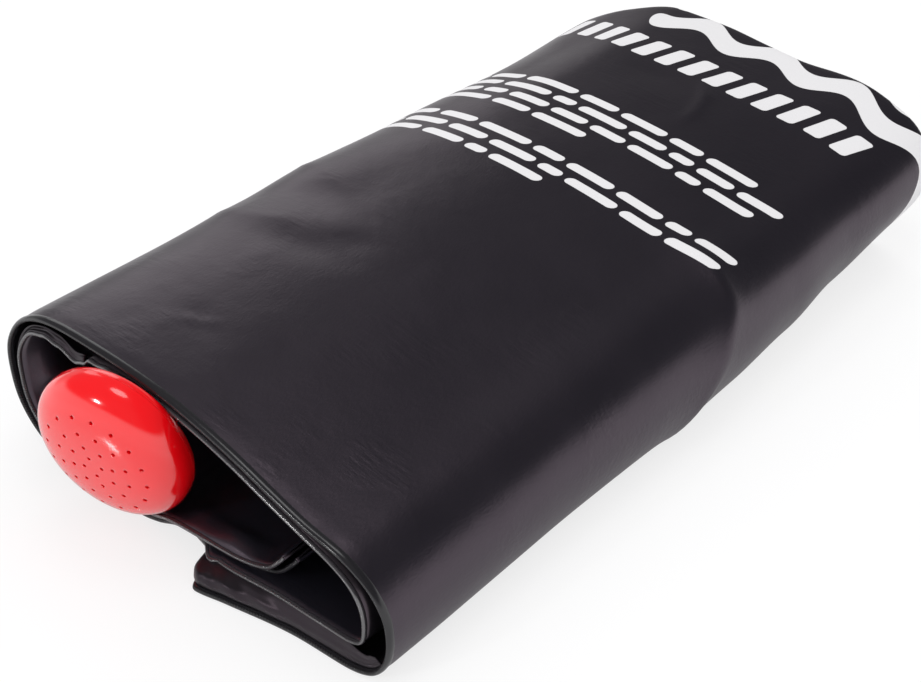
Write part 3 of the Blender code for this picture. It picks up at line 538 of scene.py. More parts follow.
class Outline:
    # The wrap's outer face: across the fold by length walked, along it from 0 near to 1 far
    def __init__(self):
        low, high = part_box("front_panel")
        shares = fold["sectionShares"]
        acrossShares = [row[0] for row in shares] + [row[3] for row in shares]
        self.halfWidth = (high.x - low.x) / (max(acrossShares) - min(acrossShares))
        self.shiftX = low.x - min(acrossShares) * self.halfWidth
        self.shiftY = low.y - min(row[2] for row in shares) * fold["length"]
        height = high.z
        rows = []
        for nearX, nearUp, nearAlong, farX, farUp, farAlong in shares:
            rows.append([
                nearX * self.halfWidth + self.shiftX, nearUp * height,
                nearAlong * fold["length"] + self.shiftY,
                farX * self.halfWidth + self.shiftX, farUp * height,
                farAlong * fold["length"] - fold["wall"] / 2 + self.shiftY])
        self.places = [0.0]
        for first, second in zip(rows, rows[1:]):
            near = math.hypot(second[0] - first[0], second[1] - first[1])
            far = math.hypot(second[3] - first[3], second[4] - first[4])
            self.places.append(self.places[-1] + (near + far) / 2)
        self.girth = self.places[-1]
        self.columns = [list(column) for column in zip(*rows)]
        self.slopes = [slopes(self.places, column) for column in self.columns]

    def at(self, walked):
        # Six values at a walked length, with their rates
        walked = min(max(walked, 0.0), self.girth)
        index = 0
        while index < len(self.places) - 2 and self.places[index + 1] < walked:
            index += 1
        span = self.places[index + 1] - self.places[index]
        t = (walked - self.places[index]) / span
        values = []
        rates = []
        for column, slope in zip(self.columns, self.slopes):
            a, b = column[index], column[index + 1]
            m, n = slope[index] * span, slope[index + 1] * span
            values.append(a * (1 + 2 * t) * (1 - t) ** 2 + m * t * (1 - t) ** 2
                          + b * t * t * (3 - 2 * t) + n * t * t * (t - 1))
            rates.append((a * 6 * t * (t - 1) + m * (1 - t) * (1 - 3 * t)
                          + b * 6 * t * (1 - t) + n * t * (3 * t - 2)) / span)
        return values, rates

    def point(self, walked, along, depth, reach=0.0):
        # A point under the outer face, and the way into the hollow there
        values, rates = self.at(walked)
        run = Vector((rates[0] + (rates[3] - rates[0]) * along, rates[1] + (rates[4] - rates[1]) * along))
        inward = Vector((-run.y, 0.0, run.x)).normalized()
        place = Vector((
            values[0] + (values[3] - values[0]) * along,
            values[2] + (values[5] - values[2]) * along + reach,
            values[1] + (values[4] - values[1]) * along))
        return place + inward * depth, inward


outline = Outline()


def ease(value, start, end):
    share = min(max((value - start) / (end - start), 0.0), 1.0)
    return share * share * (3 - 2 * share)


def readShares(pairs, share):
    # A value between the two nearest pairs
    for (first, low), (second, high) in zip(pairs, pairs[1:]):
        if share <= second:
            return low + (high - low) * ease(share, first, second)
    return pairs[-1][1]


def lineDistance(x, y, line):
    # Distance to a line of points, and the share of the way along it at the nearest place
    best = (1.0, 0.0)
    count = len(line) - 1
    for index, (start, end) in enumerate(zip(line, line[1:])):
        runX = end[0] - start[0]
        runY = end[1] - start[1]
        t = ((x - start[0]) * runX + (y - start[1]) * runY) / (runX * runX + runY * runY)
        t = min(max(t, 0.0), 1.0)
        away = math.hypot(x - start[0] - runX * t, y - start[1] - runY * t)
        if away < best[0]:
            best = (away, (index + t) / count)
    return best


def creaseHeight(x, y, crease):
    away, share = lineDistance(x, y, crease["line"])
    if away > crease["width"] * creaseFade["widths"]:
        return 0.0
    ends = min(1.0, creaseFade["ends"] * share, creaseFade["ends"] * (1 - share))
    ends = creaseFade["leastShare"] + (1 - creaseFade["leastShare"]) * max(ends, 0.0)
    return crease["height"] * ends * math.exp(-away / crease["width"])


def window(value, shares):
    # 0 outside the first and last share, 1 between the middle two
    start, crest, fall, end = shares
    return ease(value, start, crest) * (1 - ease(value, fall, end))


def mound(first, second):
    # A soft hill: 1 in its middle, nothing past three reaches
    far = first * first + second * second
    return math.exp(-far) if far < 9.0 else 0.0


def swellSize(girthShare, along, way):
    size = 0.0
    for swell in swells.values():
        share = window(girthShare, swell["girthShares"])
        if swell["way"] == way and share > 0.0:
            size += share * readShares(swell["lengthShares"], along)
    return size


def relief(walked, along, place):
    # How far the film stands outward of its plain section
    girthShare = walked / outline.girth
    height = swellSize(girthShare, along, "out")
    onTop = window(girthShare, fold["topShares"])
    if onTop > 0.0:
        for dent in dents:
            turn = math.radians(dent["turn"])
            offX = place.x - dent["at"][0]
            offY = place.y - dent["at"][1]
            run = (offX * math.cos(turn) + offY * math.sin(turn)) / dent["reach"][0]
            rise = (offY * math.cos(turn) - offX * math.sin(turn)) / dent["reach"][1]
            height += onTop * dent["height"] * mound(run, rise)
        for crease in creases:
            height += onTop * creaseHeight(place.x, place.y, crease)
    onSide = window(girthShare, fold["sideShares"])
    if onSide > 0.0:
        away = lineDistance(place.y, place.z, sideCrease["line"])[0]
        if away < sideCrease["width"] * creaseFade["widths"]:
            height += onSide * sideCrease["height"] * math.exp(-away / sideCrease["width"])
    return height


def nearness(along, reach):
    # 1 at the mouth, 0 from a reach in metres on
    return 1 - ease(along * fold["length"], 0.0, reach)


def lapEnd(along):
    # The lap's curled end stops short near the mouth
    return outline.girth - fold["lapTrim"] * nearness(along, fold["lapTrimLength"])


def outerWalk(share, along):
    return share * lapEnd(along)


def innerWalk(share, along):
    # The inner half's free end lies further in under the lap at the near end
    tail = fold["innerTail"] * nearness(along, fold["tailLength"])
    return -tail + share * (lapEnd(along) + tail)


def wrapPlace(walked, along, depth, reach=0.0):
    # A point of the wrap: depth is counted inward from the swollen outer face
    inWalk = max(walked, 0.0)
    plain, inward = outline.point(inWalk, along, 0.0, reach)
    point = plain + inward * (depth - relief(inWalk, along, plain))
    girthShare = inWalk / outline.girth
    point.x += swellSize(girthShare, along, "across")
    point.y += swellSize(girthShare, along, "along")
    point.x += (fold["endTrim"] * (1 - ease(inWalk, 0.0, fold["endTrimLength"]))
                * (1 - ease(along, 0.0, fold["nearShare"])))
    if walked < 0.0:
        share = min(1.0, -walked / fold["innerTail"])
        point.x += walked
        point.z -= fold["tailDrop"] * share
        point.y += fold["tailBack"] * share * (1 - ease(along, 0.0, fold["tailBackShare"]))
    return point


def outerPlace(walked, along, depth):
    # A point of the outer half, with its near corner rounded and its lap set back
    point = wrapPlace(walked, along, depth)
    short = fold["corner"] - min(max(walked, 0.0), fold["corner"])
    corner = fold["corner"] - math.sqrt(fold["corner"] ** 2 - short ** 2)
    lap = readShares(fold["lapBackShares"], max(walked, 0.0) / outline.girth)
    point.y += (corner + lap) * (1 - ease(along, 0.0, fold["nearShare"]))
    return point


def hemDepth(along, depth, hem, side):
    # The films of each half come together at the near hem
    distance = along * fold["length"]
    opened = ease(distance, 0.0, fold["hemLength"])
    closed = hem + side * fold["hemGap"]
    return closed + (depth - closed) * opened


def spread(walked, along):
    # How far the inner half stands off the outer one
    girthShare = max(walked, 0.0) / outline.girth
    size = nearness(along, fold["spreadLength"]) * readShares(fold["spreadShares"], girthShare)
    size += nearness(along, fold["pinchLength"]) * readShares(fold["pinchShares"], girthShare)
    for bulge in bulges:
        off = (girthShare - bulge["girthShare"]) / bulge["girthReach"]
        deep = (along * fold["length"] - bulge["inward"]) / bulge["inReach"]
        size += bulge["depth"] * mound(off, deep)
    return size


def innerSpot(walked, along, depth):
    point = wrapPlace(walked, along, depth + spread(walked, along))
    back = readShares(fold["setBackShares"], max(walked, 0.0) / outline.girth)
    point.y += nearness(along, fold["spreadLength"]) * back
    return point


def innerPlace(walked, along, depth):
    # A point of the inner half, which stands off the outer one near the mouth and turns wider there
    point = innerSpot(walked, along, depth)
    loose = nearness(along, fold["spreadLength"]) * (1 - ease(walked / outline.girth, *fold["roundedShares"]))
    if loose > 0.0 and walked > fold["rounding"]:
        step = fold["rounding"] / 3
        around = [innerSpot(walked + step * count, along, depth) for count in (-3, -2, -1, 1, 2, 3)]
        point += (sum(around, point) / 7 - point) * loose
    return point


# The two films: depths under the outer face of their outer and inner half, and the side of the
# hem that each half ends on
films = {
    "bagFront": {"node": "front_panel", "outer": 0.00035, "inner": 0.00455,
                 "sides": (-1.0, 1.0), "detail": 1.0},
    "bagBack": {"node": "back_panel", "outer": 0.00155, "inner": 0.00335,
                "sides": (1.0, -1.0), "detail": 0.75},
}


def filmPoint(share, step, rows, film):
    # A film's middle, with its spot on the flat film: the outer run, the far fold and the inner
    # run, one step a row
    outerRows, foldRows, innerRows = rows
    outerPower, innerPower = fold["rowPowers"]
    if step <= outerRows:
        along = (step / outerRows) ** outerPower
        walked = outerWalk(share, along)
        depth = hemDepth(along, film["outer"], fold["outerHemDepth"], film["sides"][0])
        point = outerPlace(walked, along, depth)
        return point, (walked, point.y)
    step -= outerRows
    walked = outerWalk(share, 1.0)
    foldAt = wrapPlace(walked, 1.0, film["outer"]).y
    radius = (film["inner"] - film["outer"]) / 2
    if step < foldRows:
        angle = math.pi * step / foldRows
        depth = film["outer"] + radius - radius * math.cos(angle)
        return wrapPlace(walked, 1.0, depth, radius * math.sin(angle)), (walked, foldAt + radius * angle)
    step -= foldRows
    along = (1 - step / innerRows) ** innerPower
    walked = innerWalk(share, along)
    depth = hemDepth(along, film["inner"], fold["innerHemDepth"], film["sides"][1])
    point = innerPlace(walked, along, depth)
    return point, (walked, 2 * foldAt + radius * math.pi - point.y)


def cutOpening(shape, spot, axis, radius):
    # Leaves out the film under a fitting's flange, round the fitting's axis
    cut = []
    for face in shape.faces:
        away = face.calc_center_median() - spot
        along = away.dot(axis)
        if abs(along) < fold["cutReach"] and (away - axis * along).length < radius:
            cut.append(face)
    bmesh.ops.delete(shape, geom=cut, context="FACES")


def filmGrid(across, along, put):
    # A grid read in shares of its sides: put gives each point and its spot on the flat film
    shape = bmesh.new()
    layer = shape.loops.layers.uv.new("film")
    bmesh.ops.create_grid(shape, x_segments=across, y_segments=along, size=0.5)
    flat = {}
    for vert in shape.verts:
        vert.co, flat[vert] = put(vert.co.x + 0.5, vert.co.y + 0.5)
    for face in shape.faces:
        for loop in face.loops:
            loop[layer].uv = flat[loop.vert]
    return shape, flat


def makeFilm(name, finish, openings):
    film = films[name]
    rows = [round(count * film["detail"]) for count in fold["rows"]]
    shape, flat = filmGrid(round(fold["across"] * film["detail"]), sum(rows),
                           lambda share, rise: filmPoint(share, round(rise * sum(rows)), rows, film))
    for opening in openings:
        cutOpening(shape, *opening)
    piece = finished(name, shape)
    addWall(piece, fold["film"], 0.0)
    dress(piece, finish, "bag", film["node"])
    runs = [spot[1] for spot in flat.values()]
    unfolded = max(runs) - min(runs)
    lapEnd(1.0)
    print(name, "flat", round(lapEnd(1.0), 3), round(unfolded, 3))


# The white print, all plain bars: places on the unfolded film in metres, first how far walked
# round the wrap, then how far along it
marks = {
    "white": (0.84, 0.84, 0.85, 1.0),
    "soft": 0.00012,
    "lean": 0.30,
    "rows": (
        {"height": 0.0787, "start": 0.300, "end": 0.1385,
         "breaks": (0.160, 0.176, 0.198, 0.217, 0.243, 0.262, 0.285)},
        {"height": 0.0710, "start": 0.300, "end": 0.1235,
         "breaks": (0.142, 0.159, 0.171, 0.189, 0.212, 0.224, 0.248, 0.270)},
        {"height": 0.0633, "start": 0.300, "end": 0.1305,
         "breaks": (0.151, 0.163, 0.184, 0.201, 0.219, 0.239, 0.252, 0.276)},
        {"height": 0.0556, "start": 0.300, "end": 0.1975, "breaks": (0.222, 0.241, 0.268, 0.283)},
        {"height": 0.0375, "start": 0.300, "end": 0.1200,
         "breaks": (0.137, 0.149, 0.170, 0.192, 0.207, 0.232, 0.251, 0.279)},
        {"height": 0.0298, "start": 0.300, "end": 0.1220,
         "breaks": (0.144, 0.163, 0.187, 0.199, 0.221, 0.240, 0.262)},
        {"height": 0.0221, "start": 0.300, "end": 0.1915, "breaks": (0.215, 0.226, 0.246, 0.271)},
    ),
    "rowHalf": 0.0021,
    "breakHalf": 0.0013,
    "bars": {"height": 0.1275, "half": 0.0073, "pitch": 0.0112, "barHalf": 0.0035, "radius": 0.0016,
             "start": 0.292, "end": 0.1235, "rise": 0.0065, "riseFrom": (0.222, 0.262),
             "drop": 0.0035, "dropTo": (0.146, 0.118)},
    "waves": {"height": 0.1545, "half": 0.0060, "swing": 0.0042, "length": 0.0340, "pitch": 0.0195,
              "start": 0.236, "end": 0.060, "dropTo": (0.165, 0.098), "drop": 0.0115},
}


def roundedBar(inside, off, half, radius):
    # 1 inside a bar with rounded ends: inside is the distance in from its ends, off from its middle
    short = (radius - inside).most(0.0)
    wide = (off - (half - radius)).most(0.0)
    return 1.0 - (short * short + wide * wide).root().fade(radius - marks["soft"], radius + marks["soft"])


def wordRow(walked, run, row):
    lean = walked + (run - row["height"]) * marks["lean"]
    inside = (lean - row["end"]).least(row["start"] - lean)
    for gap in row["breaks"]:
        inside = inside.least((lean - gap).size() - marks["breakHalf"])
    return roundedBar(inside, (run - row["height"]).size(), marks["rowHalf"], marks["rowHalf"])


def leaningBars(walked, run):
    bars = marks["bars"]
    height = (walked.fade(*bars["riseFrom"]) * bars["rise"]
              - walked.fade(*bars["dropTo"]) * bars["drop"] + bars["height"])
    off = run - height
    lean = walked + off * marks["lean"]
    cell = lean.wrap(bars["pitch"]) - bars["pitch"] / 2
    inside = bars["barHalf"] - cell.size()
    shown = (lean > bars["end"]) * (lean < bars["start"])
    return roundedBar(inside, off.size(), bars["half"], bars["radius"]) * shown


def waveStripes(walked, run):
    waves = marks["waves"]
    swing = (walked * (math.tau / waves["length"])).wave() * waves["swing"]
    off = run - waves["height"] - swing + walked.fade(*waves["dropTo"]) * waves["drop"]
    inside = (walked - waves["end"]).least(waves["start"] - walked)
    first = roundedBar(inside, off.size(), waves["half"], waves["half"])
    second = roundedBar(inside, (off - waves["pitch"]).size(), waves["half"], waves["half"])
    return first.most(second)


def filmSpot(flow):
    # A spot on the unfolded film, by its two lengths
    spot = flow.node("UVMap", {"uv_map": "film"})
    return [flow.node("SeparateXYZ", None, {0: spot}, axis) for axis in (0, 1)]


def printMask(flow):
    walked, run = filmSpot(flow)
    mask = leaningBars(walked, run).most(waveStripes(walked, run))
    for row in marks["rows"]:
        mask = mask.most(wordRow(walked, run, row))
    return mask


def shaded(tint, level):
    # A tint at a level of light, as a full colour
    return tuple(part * level for part in tint) + (1.0,)


skin = {
    "cloudScale": 28.0,
    "cloudLevel": 1.35,
    "cloudRough": 0.16,
    "grainScale": 1500.0,
    "grainStretch": (1.0, 0.45, 1.0),
    "grainTurn": 35,
    "grainHeight": 0.00008,
    "grainOver": 0.2,
    "swellScale": 62.0,
    "swellHeight": 0.0006,
    "lineScale": 520.0,
    "lineStretch": (0.22, 1.0, 1.0),
    "lineHeight": 0.00026,
    "lineStrength": 0.5,
    "patchScale": 34.0,
    "patchFade": (0.48, 0.62),
    "printRough": 0.12,
    "sheenTint": (1.0, 0.79, 0.94, 1.0),
}


def blackFilm(name, tint, gloss, printed, ripple=0.3, sheen=1.74):
    # Soft swells, an embossed grain and, on the printed film, patches of fine lines
    material, flow = startMaterial(name)
    place = objectPlace(flow)
    cloud = noise(flow, place, skin["cloudScale"], 4.0)
    grainPlace = objectPlace(flow, skin["grainStretch"], (0.0, 0.0, math.radians(skin["grainTurn"])))
    grain = noise(flow, grainPlace, skin["grainScale"], 2.0)
    swell = noise(flow, place, skin["swellScale"], 3.0)
    rough = gloss + (cloud - 0.5) * skin["cloudRough"]
    normal = bump(flow, swell, skin["swellHeight"], ripple)
    normal = bump(flow, grain, skin["grainHeight"], ripple + skin["grainOver"], normal)
    shade = mixColour(flow, cloud, shaded(tint, 1.0), shaded(tint, skin["cloudLevel"]))
    if printed:
        fineLines = noise(flow, objectPlace(flow, skin["lineStretch"]), skin["lineScale"], 2.0)
        patch = noise(flow, place, skin["patchScale"], 2.0).fade(*skin["patchFade"])
        normal = bump(flow, fineLines * patch, skin["lineHeight"], skin["lineStrength"], normal)
        mask = printMask(flow)
        shade = mixColour(flow, mask, shade, marks["white"])
        rough = rough + mask * skin["printRough"]
    closePrincipled(flow, {"Base Color": shade, "Roughness": rough, "Normal": normal, "IOR": sheen,
                           "Specular Tint": skin["sheenTint"]})
    return material


# The welded hems along the near edge of each half, with pressed dots in a row
seams = {
    "outerHem": {"node": "front_panel", "depth": fold["outerHemDepth"], "walk": outerWalk, "put": outerPlace,
                 "halfDeep": 0.00094, "halfLong": 0.0016, "shift": 0.0006},
    "innerHem": {"node": "back_panel", "depth": fold["innerHemDepth"], "walk": innerWalk, "put": innerPlace,
                 "halfDeep": 0.00074, "halfLong": 0.0010, "shift": 0.0},
}
weld = {
    "along": 900,
    "around": 16,
    "endShare": 1 / 240,
    "probe": 0.0004,
    "dotPitch": 0.00092,
    "dotHeight": 0.0003,
    "dotStrength": 0.9,
    "bandAt": 0.17,
    "bandFade": (0.05, 0.11),
    "cloudScale": 60.0,
    "cloudHeight": 0.0006,
    "cloudStrength": 0.4,
    "cloudLevel": 0.8,
    "rough": 0.2,
    "cloudRough": 0.1,
}


def makeSeam(name, finish):
    seam = seams[name]

    def put(share, around):
        turn = around * math.tau
        bare = max(0.0, 1 - min(share, 1 - share) / weld["endShare"])
        taper = math.sqrt(max(0.0, 1 - bare ** 2))
        walked = seam["walk"](share, 0.0)
        middle = seam["put"](walked, 0.0, seam["depth"])
        inward = (seam["put"](walked, 0.0, seam["depth"] + weld["probe"]) - middle).normalized()
        middle.y += seam["shift"] - seam["halfLong"] * math.sin(turn) * taper
        return middle + inward * seam["halfDeep"] * math.cos(turn) * taper, (share * outline.girth, around)

    shape = filmGrid(weld["along"], weld["around"], put)[0]
    bmesh.ops.remove_doubles(shape, verts=shape.verts, dist=making["mergeGap"])
    dress(finished(name, shape), finish, "bag", seam["node"])


def weldedHem(name, tint, sheen):
    material, flow = startMaterial(name)
    along, around = filmSpot(flow)
    dots = (along * (math.tau / weld["dotPitch"])).wave() * 0.5 + 0.5
    band = 1.0 - (around - weld["bandAt"]).size().fade(*weld["bandFade"])
    cloud = noise(flow, objectPlace(flow), weld["cloudScale"], 3.0)
    normal = bump(flow, dots * band, weld["dotHeight"], weld["dotStrength"])
    normal = bump(flow, cloud, weld["cloudHeight"], weld["cloudStrength"], normal)
    shade = mixColour(flow, cloud, shaded(tint, weld["cloudLevel"]), shaded(tint, 1.0))
    closePrincipled(flow, {"Base Color": shade, "Normal": normal, "IOR": sheen,
                           "Roughness": weld["rough"] + (cloud - 0.5) * weld["cloudRough"]})
    return material


# Fittings through the film, in the part's own places
spots = {
    "fillerShares": (-0.5523, 0.8805),
    "outletShares": (-0.5523, 0.5631),
    "eyeletAlong": 0.014,
    "eyeletSegments": {"left": 15, "right": 12},
    "eyeletProbes": (0.004, 0.001),
    "fillerCut": 0.0125,
    "outletCut": 0.0045,
    "eyeletCut": 0.0042,
}


def foldSpot(shares, height):
    # A place by its shares across and along the fold
    return Vector((shares[0] * outline.halfWidth + outline.shiftX,
                   shares[1] * fold["length"] + outline.shiftY, height))


def eyeletFrame(side):
    # On the inner half: X round the wrap, Z into the hollow, zero at the hem depth's middle
    index = spots["eyeletSegments"][side]
    walked = (outline.places[index] + outline.places[index + 1]) / 2
    values = outline.at(walked)[0]
    along = (spots["eyeletAlong"] + outline.shiftY - values[2]) / (values[5] - values[2])
    depth = fold["innerHemDepth"]
    aside, deeper = spots["eyeletProbes"]
    middle = innerPlace(walked, along, depth)
    across = innerPlace(walked + aside, along, depth) - innerPlace(walked - aside, along, depth)
    across.normalize()
    inward = innerPlace(walked, along, depth + deeper) - middle
    inward = (inward - across * inward.dot(across)).normalized()
    return frameOf((across, inward.cross(across), inward), middle)


def filmOpenings(front):
    found = []
    for side in spots["eyeletSegments"]:
        turned = eyeletFrame(side)
        found.append((turned.translation.copy(), turned.to_3x3().col[2].copy(), spots["eyeletCut"]))
    if front:
        up = Vector((0.0, 0.0, 1.0))
        height = fold["wall"] - fold["film"] / 2
        found.append((foldSpot(spots["fillerShares"], height), up, spots["fillerCut"]))
        found.append((foldSpot(spots["outletShares"], height), up, spots["outletCut"]))
    return found


frontFilm = (blackFilm("frontFilm", (0.0092, 0.0092, 0.0135), 0.36, True, 0.42), "front_film")
backFilm = (blackFilm("backFilm", (0.0080, 0.0074, 0.0090), 0.30, False), "back_film")
slackFilm = (blackFilm("slackFilm", (0.0080, 0.0074, 0.0090), 0.36, False, 0.05, 1.45), "back_film")
outerWeld = (weldedHem("outerWeld", (0.018, 0.017, 0.020), 1.55), "front_film")
# The inner hem's grey tint is lighter than the films partly as painted highlight: it stands in for the bright
# line that the rounded bead catches
innerWeldPaintedHighlight = (weldedHem("innerWeldPaintedHighlight", (0.050, 0.045, 0.052), 2.2), "back_film")
makeFilm("bagFront", frontFilm, filmOpenings(True))
makeFilm("bagBack", backFilm, filmOpenings(False))
makeSeam("outerHem", outerWeld)
makeSeam("innerHem", innerWeldPaintedHighlight)


# Slack film between the two hems: along the mouth's lower edge, and up its left side
lips = {
    "mouthLip": {
        "start": -0.0010,
        "end": 0.0790,
        "along": 170,
        "up": 16,
        "lowDepth": 0.0019,
        "lowBack": 0.0010,
        "highDepth": 0.0033,
        "bulgeShares": ((0.0, 0.0004), (0.08, 0.0024), (0.20, 0.0030), (0.40, 0.0018), (0.65, 0.0010),
                        (0.85, 0.0004), (1.0, 0.0)),
        "riseShares": ((0.0, 0.8), (0.06, 1.0), (0.82, 1.0), (0.97, 0.50), (1.0, 0.35)),
        "hugsInner": False,
        "wrinkle": 0.0006,
        "wrinkleLength": 0.0120,
        "streak": 0.00008,
    },
    "mouthCheek": {
        "start": 0.236,
        "end": 0.345,
        "along": 120,
        "up": 10,
        "lowDepth": 0.0019,
        "lowBack": 0.0022,
        "highDepth": 0.0033,
        "bulgeShares": ((0.0, 0.0), (0.3, -0.0008), (1.0, -0.0008)),
        "riseShares": ((0.0, 0.30), (0.15, 0.50), (0.50, 0.62), (0.85, 0.62), (1.0, 0.1)),
        "hugsInner": True,
        "wrinkle": 0.0002,
        "wrinkleLength": 0.0120,
        "streak": 0.00015,
    },
}
slack = {
    "tuckShare": 0.45,
    "probe": 0.002,
    "waveLean": 5.0,
    "streaks": 2.5,
    "streakStart": 0.6,
    "fullestPower": 0.7,
}


def lipPoint(lip, share, rise):
    # Between a low edge on the outer hem and a high edge on the inner one, bulging forward
    walked = lip["start"] + (lip["end"] - lip["start"]) * share
    onFilm = max(walked, 0.0)
    past = Vector((min(walked, 0.0), 0.0, 0.0))
    low = outerPlace(onFilm, 0.0, lip["lowDepth"]) + past
    low.y += lip["lowBack"]
    high = innerPlace(onFilm, 0.0, lip["highDepth"]) + past
    if walked < 0.0:
        low += (high - low) * slack["tuckShare"] * (1 - ease(walked, lip["start"], 0.0))
    reach = readShares(lip["riseShares"], share)
    if lip["hugsInner"]:
        low += (high - low) * (1 - reach)
        chord = high - low
    else:
        chord = (high - low) * reach
    across = wrapPlace(onFilm + slack["probe"], 0.0, 0.0) - wrapPlace(onFilm, 0.0, 0.0)
    out = chord.cross(across).normalized()
    if out.y > 0.0:
        out = -out
    bulge = readShares(lip["bulgeShares"], share)
    wave = math.sin(math.tau * walked / lip["wrinkleLength"] + slack["waveLean"] * rise)
    bulge += wave * lip["wrinkle"] * (1 - share) ** 2
    bulge += math.sin(math.tau * slack["streaks"] * rise + slack["streakStart"]) * lip["streak"]
    point = low + chord * rise + out * bulge * math.sin(math.pi * rise ** slack["fullestPower"])
    return point, (point.x, point.y)


def makeLip(name, lip):
    shape = filmGrid(lip["along"], lip["up"], lambda share, rise: lipPoint(lip, share, rise))[0]
    piece = finished(name, shape)
    addWall(piece, fold["film"], 0.0)
    dress(piece, slackFilm, "bag", "back_panel")


for name, lip in lips.items():
    makeLip(name, lip)
print("bag films folded")


# Spray head, along its own axis: Z forward, its rim plane at zero
head = {
    "facing": (0.206, -0.971, -0.12),
    "centre": (-0.022231, -0.154297, 0.0349),
    "radius": 0.0264,
    "wall": 0.0018,
    "innerWalls": 1.6,
    "thinPower": 3,
    "widest": -0.0026,
    "rise": 0.0112,
    "shoulderPower": 0.67,
    "crownPower": 0.96,
    "curveSteps": 48,
    "backSteps": 12,
    "backShare": 0.10,
    "backLong": 0.0057,
    "splitAt": -0.0052,
    "splitGap": 0.00012,
    "bandDepth": 0.0066,
    "skirtSoft": 0.0003,
    "hipShare": 0.6,
    "hipBack": 0.0108,
    "napeShare": 0.485,
    "napeBack": 0.0146,
    "neckRadius": 0.0100,
    "neckStart": 0.0190,
    "neckEnd": 0.0480,
    "boreRadius": 0.0076,
    "sealRadius": 0.0050,
    "sealStart": 0.0195,
    "sealEnd": 0.0270,
    "holeRadius": 0.00062,
    "holeAt": 0.004,
    "holeLong": 0.016,
    "holeSides": 14,
    "ringShares": ((0.129, 4), (0.288, 8), (0.473, 12), (0.678, 16)),
    "steps": 128,
}


def headFrame():
    return aimed(head["centre"], Vector(head["facing"]).normalized())


def bunOutline():
    # The head's outside from the middle of its face back to where it turns in
    points = []
    for step in range(head["curveSteps"] + 1):
        angle = math.pi / 2 * step / head["curveSteps"]
        points.append((head["radius"] * math.sin(angle) ** head["shoulderPower"],
                       head["widest"] + head["rise"] * math.cos(angle) ** head["crownPower"]))
    for step in range(1, head["backSteps"] + 1):
        angle = math.pi / 2 * step / head["backSteps"]
        points.append((head["radius"] * (1 - head["backShare"] * (1 - math.cos(angle))),
                       head["widest"] - head["backLong"] * math.sin(angle)))
    return points


def pins(name, radius, sides, depth, places):
    # Pins of one size, to be cut away from a piece
    shape = bmesh.new()
    for spot in places:
        bmesh.ops.create_cone(shape, cap_ends=True, segments=sides, radius1=radius, radius2=radius,
                              depth=depth, matrix=spot)
    return linked(name, shape)


def turnPiece(name, node, finish, profile, place, steps=96, soften=(0.0003, 3), body="bag"):
    # Most fittings: an outline with its corners rounded, spun closed and dressed
    softened = rounded(profile, *soften) if soften else profile
    dress(spun(name, softened, steps, place), finish, body, node)


# Plastics, rubber and the patches' film, each a cloud of colour under a fine speck. Roughness: its
# level, then what cloud and speck add. Bumps: height and strength
moulded = {
    "redPlastic": {
        "slot": "red_plastic", "tints": ((0.94, 0.002, 0.006), (0.99, 0.004, 0.009)),
        "scales": (60.0, 900.0), "detail": 2.0, "rough": (0.14, 0.0, 0.06), "cloudBump": (0.0002, 0.2),
        "more": {"IOR": 1.7, "Coat Weight": 0.7, "Coat Roughness": 0.06, "Coat IOR": 1.5}},
    "blackPlastic": {
        "slot": "black_plastic", "tints": ((0.014, 0.014, 0.015), (0.022, 0.022, 0.023)),
        "scales": (90.0, 420.0), "detail": 3.0, "rough": (0.36, 0.06, 0.10), "speckBump": (0.00003, 0.6),
        "more": {"Coat Weight": 0.0, "Coat Roughness": 0.03}},
    "sealRubber": {
        "slot": "seal_rubber", "tints": ((0.010, 0.010, 0.010), (0.016, 0.016, 0.016)),
        "scales": (90.0, 700.0), "detail": 3.0, "rough": (0.55, 0.06, 0.10), "speckBump": (0.00004, 0.6),
        "more": {"Coat Weight": 0.0, "Coat Roughness": 0.03}},
    "hoseVinyl": {
        "slot": "hose_vinyl", "tints": ((0.018, 0.018, 0.019), (0.030, 0.030, 0.032)),
        "scales": (90.0, 300.0), "detail": 3.0, "rough": (0.24, 0.06, 0.10), "speckBump": (0.00004, 0.6),
        "more": {"Coat Weight": 0.3, "Coat Roughness": 0.12}},
    "capPlastic": {
        "slot": "cap_plastic", "tints": ((0.66, 0.008, 0.016), (0.76, 0.013, 0.022)),
        "scales": (90.0, 500.0), "detail": 3.0, "rough": (0.28, 0.06, 0.10), "speckBump": (0.00003, 0.6),
        "more": {"Coat Weight": 0.3, "Coat Roughness": 0.10}},
    "patchFilm": {
        "slot": "patch_film", "tints": ((0.011, 0.0105, 0.012), (0.018, 0.017, 0.019)),
        "scales": (120.0, 1500.0), "detail": 2.0, "rough": (0.30, 0.12, 0.0), "cloudBump": (0.0003, 0.4),
        "speckBump": (0.00006, 0.5), "more": {"IOR": 1.6}},
}


def mouldedFinish(name):
    look = moulded[name]
    material, flow = startMaterial(name)
    place = objectPlace(flow)
    clouds, specks = look["scales"]
    cloud = noise(flow, place, clouds)
    speck = noise(flow, place, specks, look["detail"])
    level, cloudRough, speckRough = look["rough"]
    normal = None
    if "cloudBump" in look:
        normal = bump(flow, cloud, *look["cloudBump"])
    if "speckBump" in look:
        normal = bump(flow, speck, *look["speckBump"], normal)
    closePrincipled(flow, {
        "Base Color": mixColour(flow, cloud, *(shaded(tint, 1.0) for tint in look["tints"])),
        "Roughness": level + (speck - 0.5) * speckRough + (cloud - 0.5) * cloudRough,
        "Normal": normal, **look["more"]})
    return material, look["slot"]


redShell = mouldedFinish("redPlastic")
blackPlastic = mouldedFinish("blackPlastic")
sealRubber = mouldedFinish("sealRubber")
hoseVinyl = mouldedFinish("hoseVinyl")
capPlastic = mouldedFinish("capPlastic")
patchFilm = mouldedFinish("patchFilm")


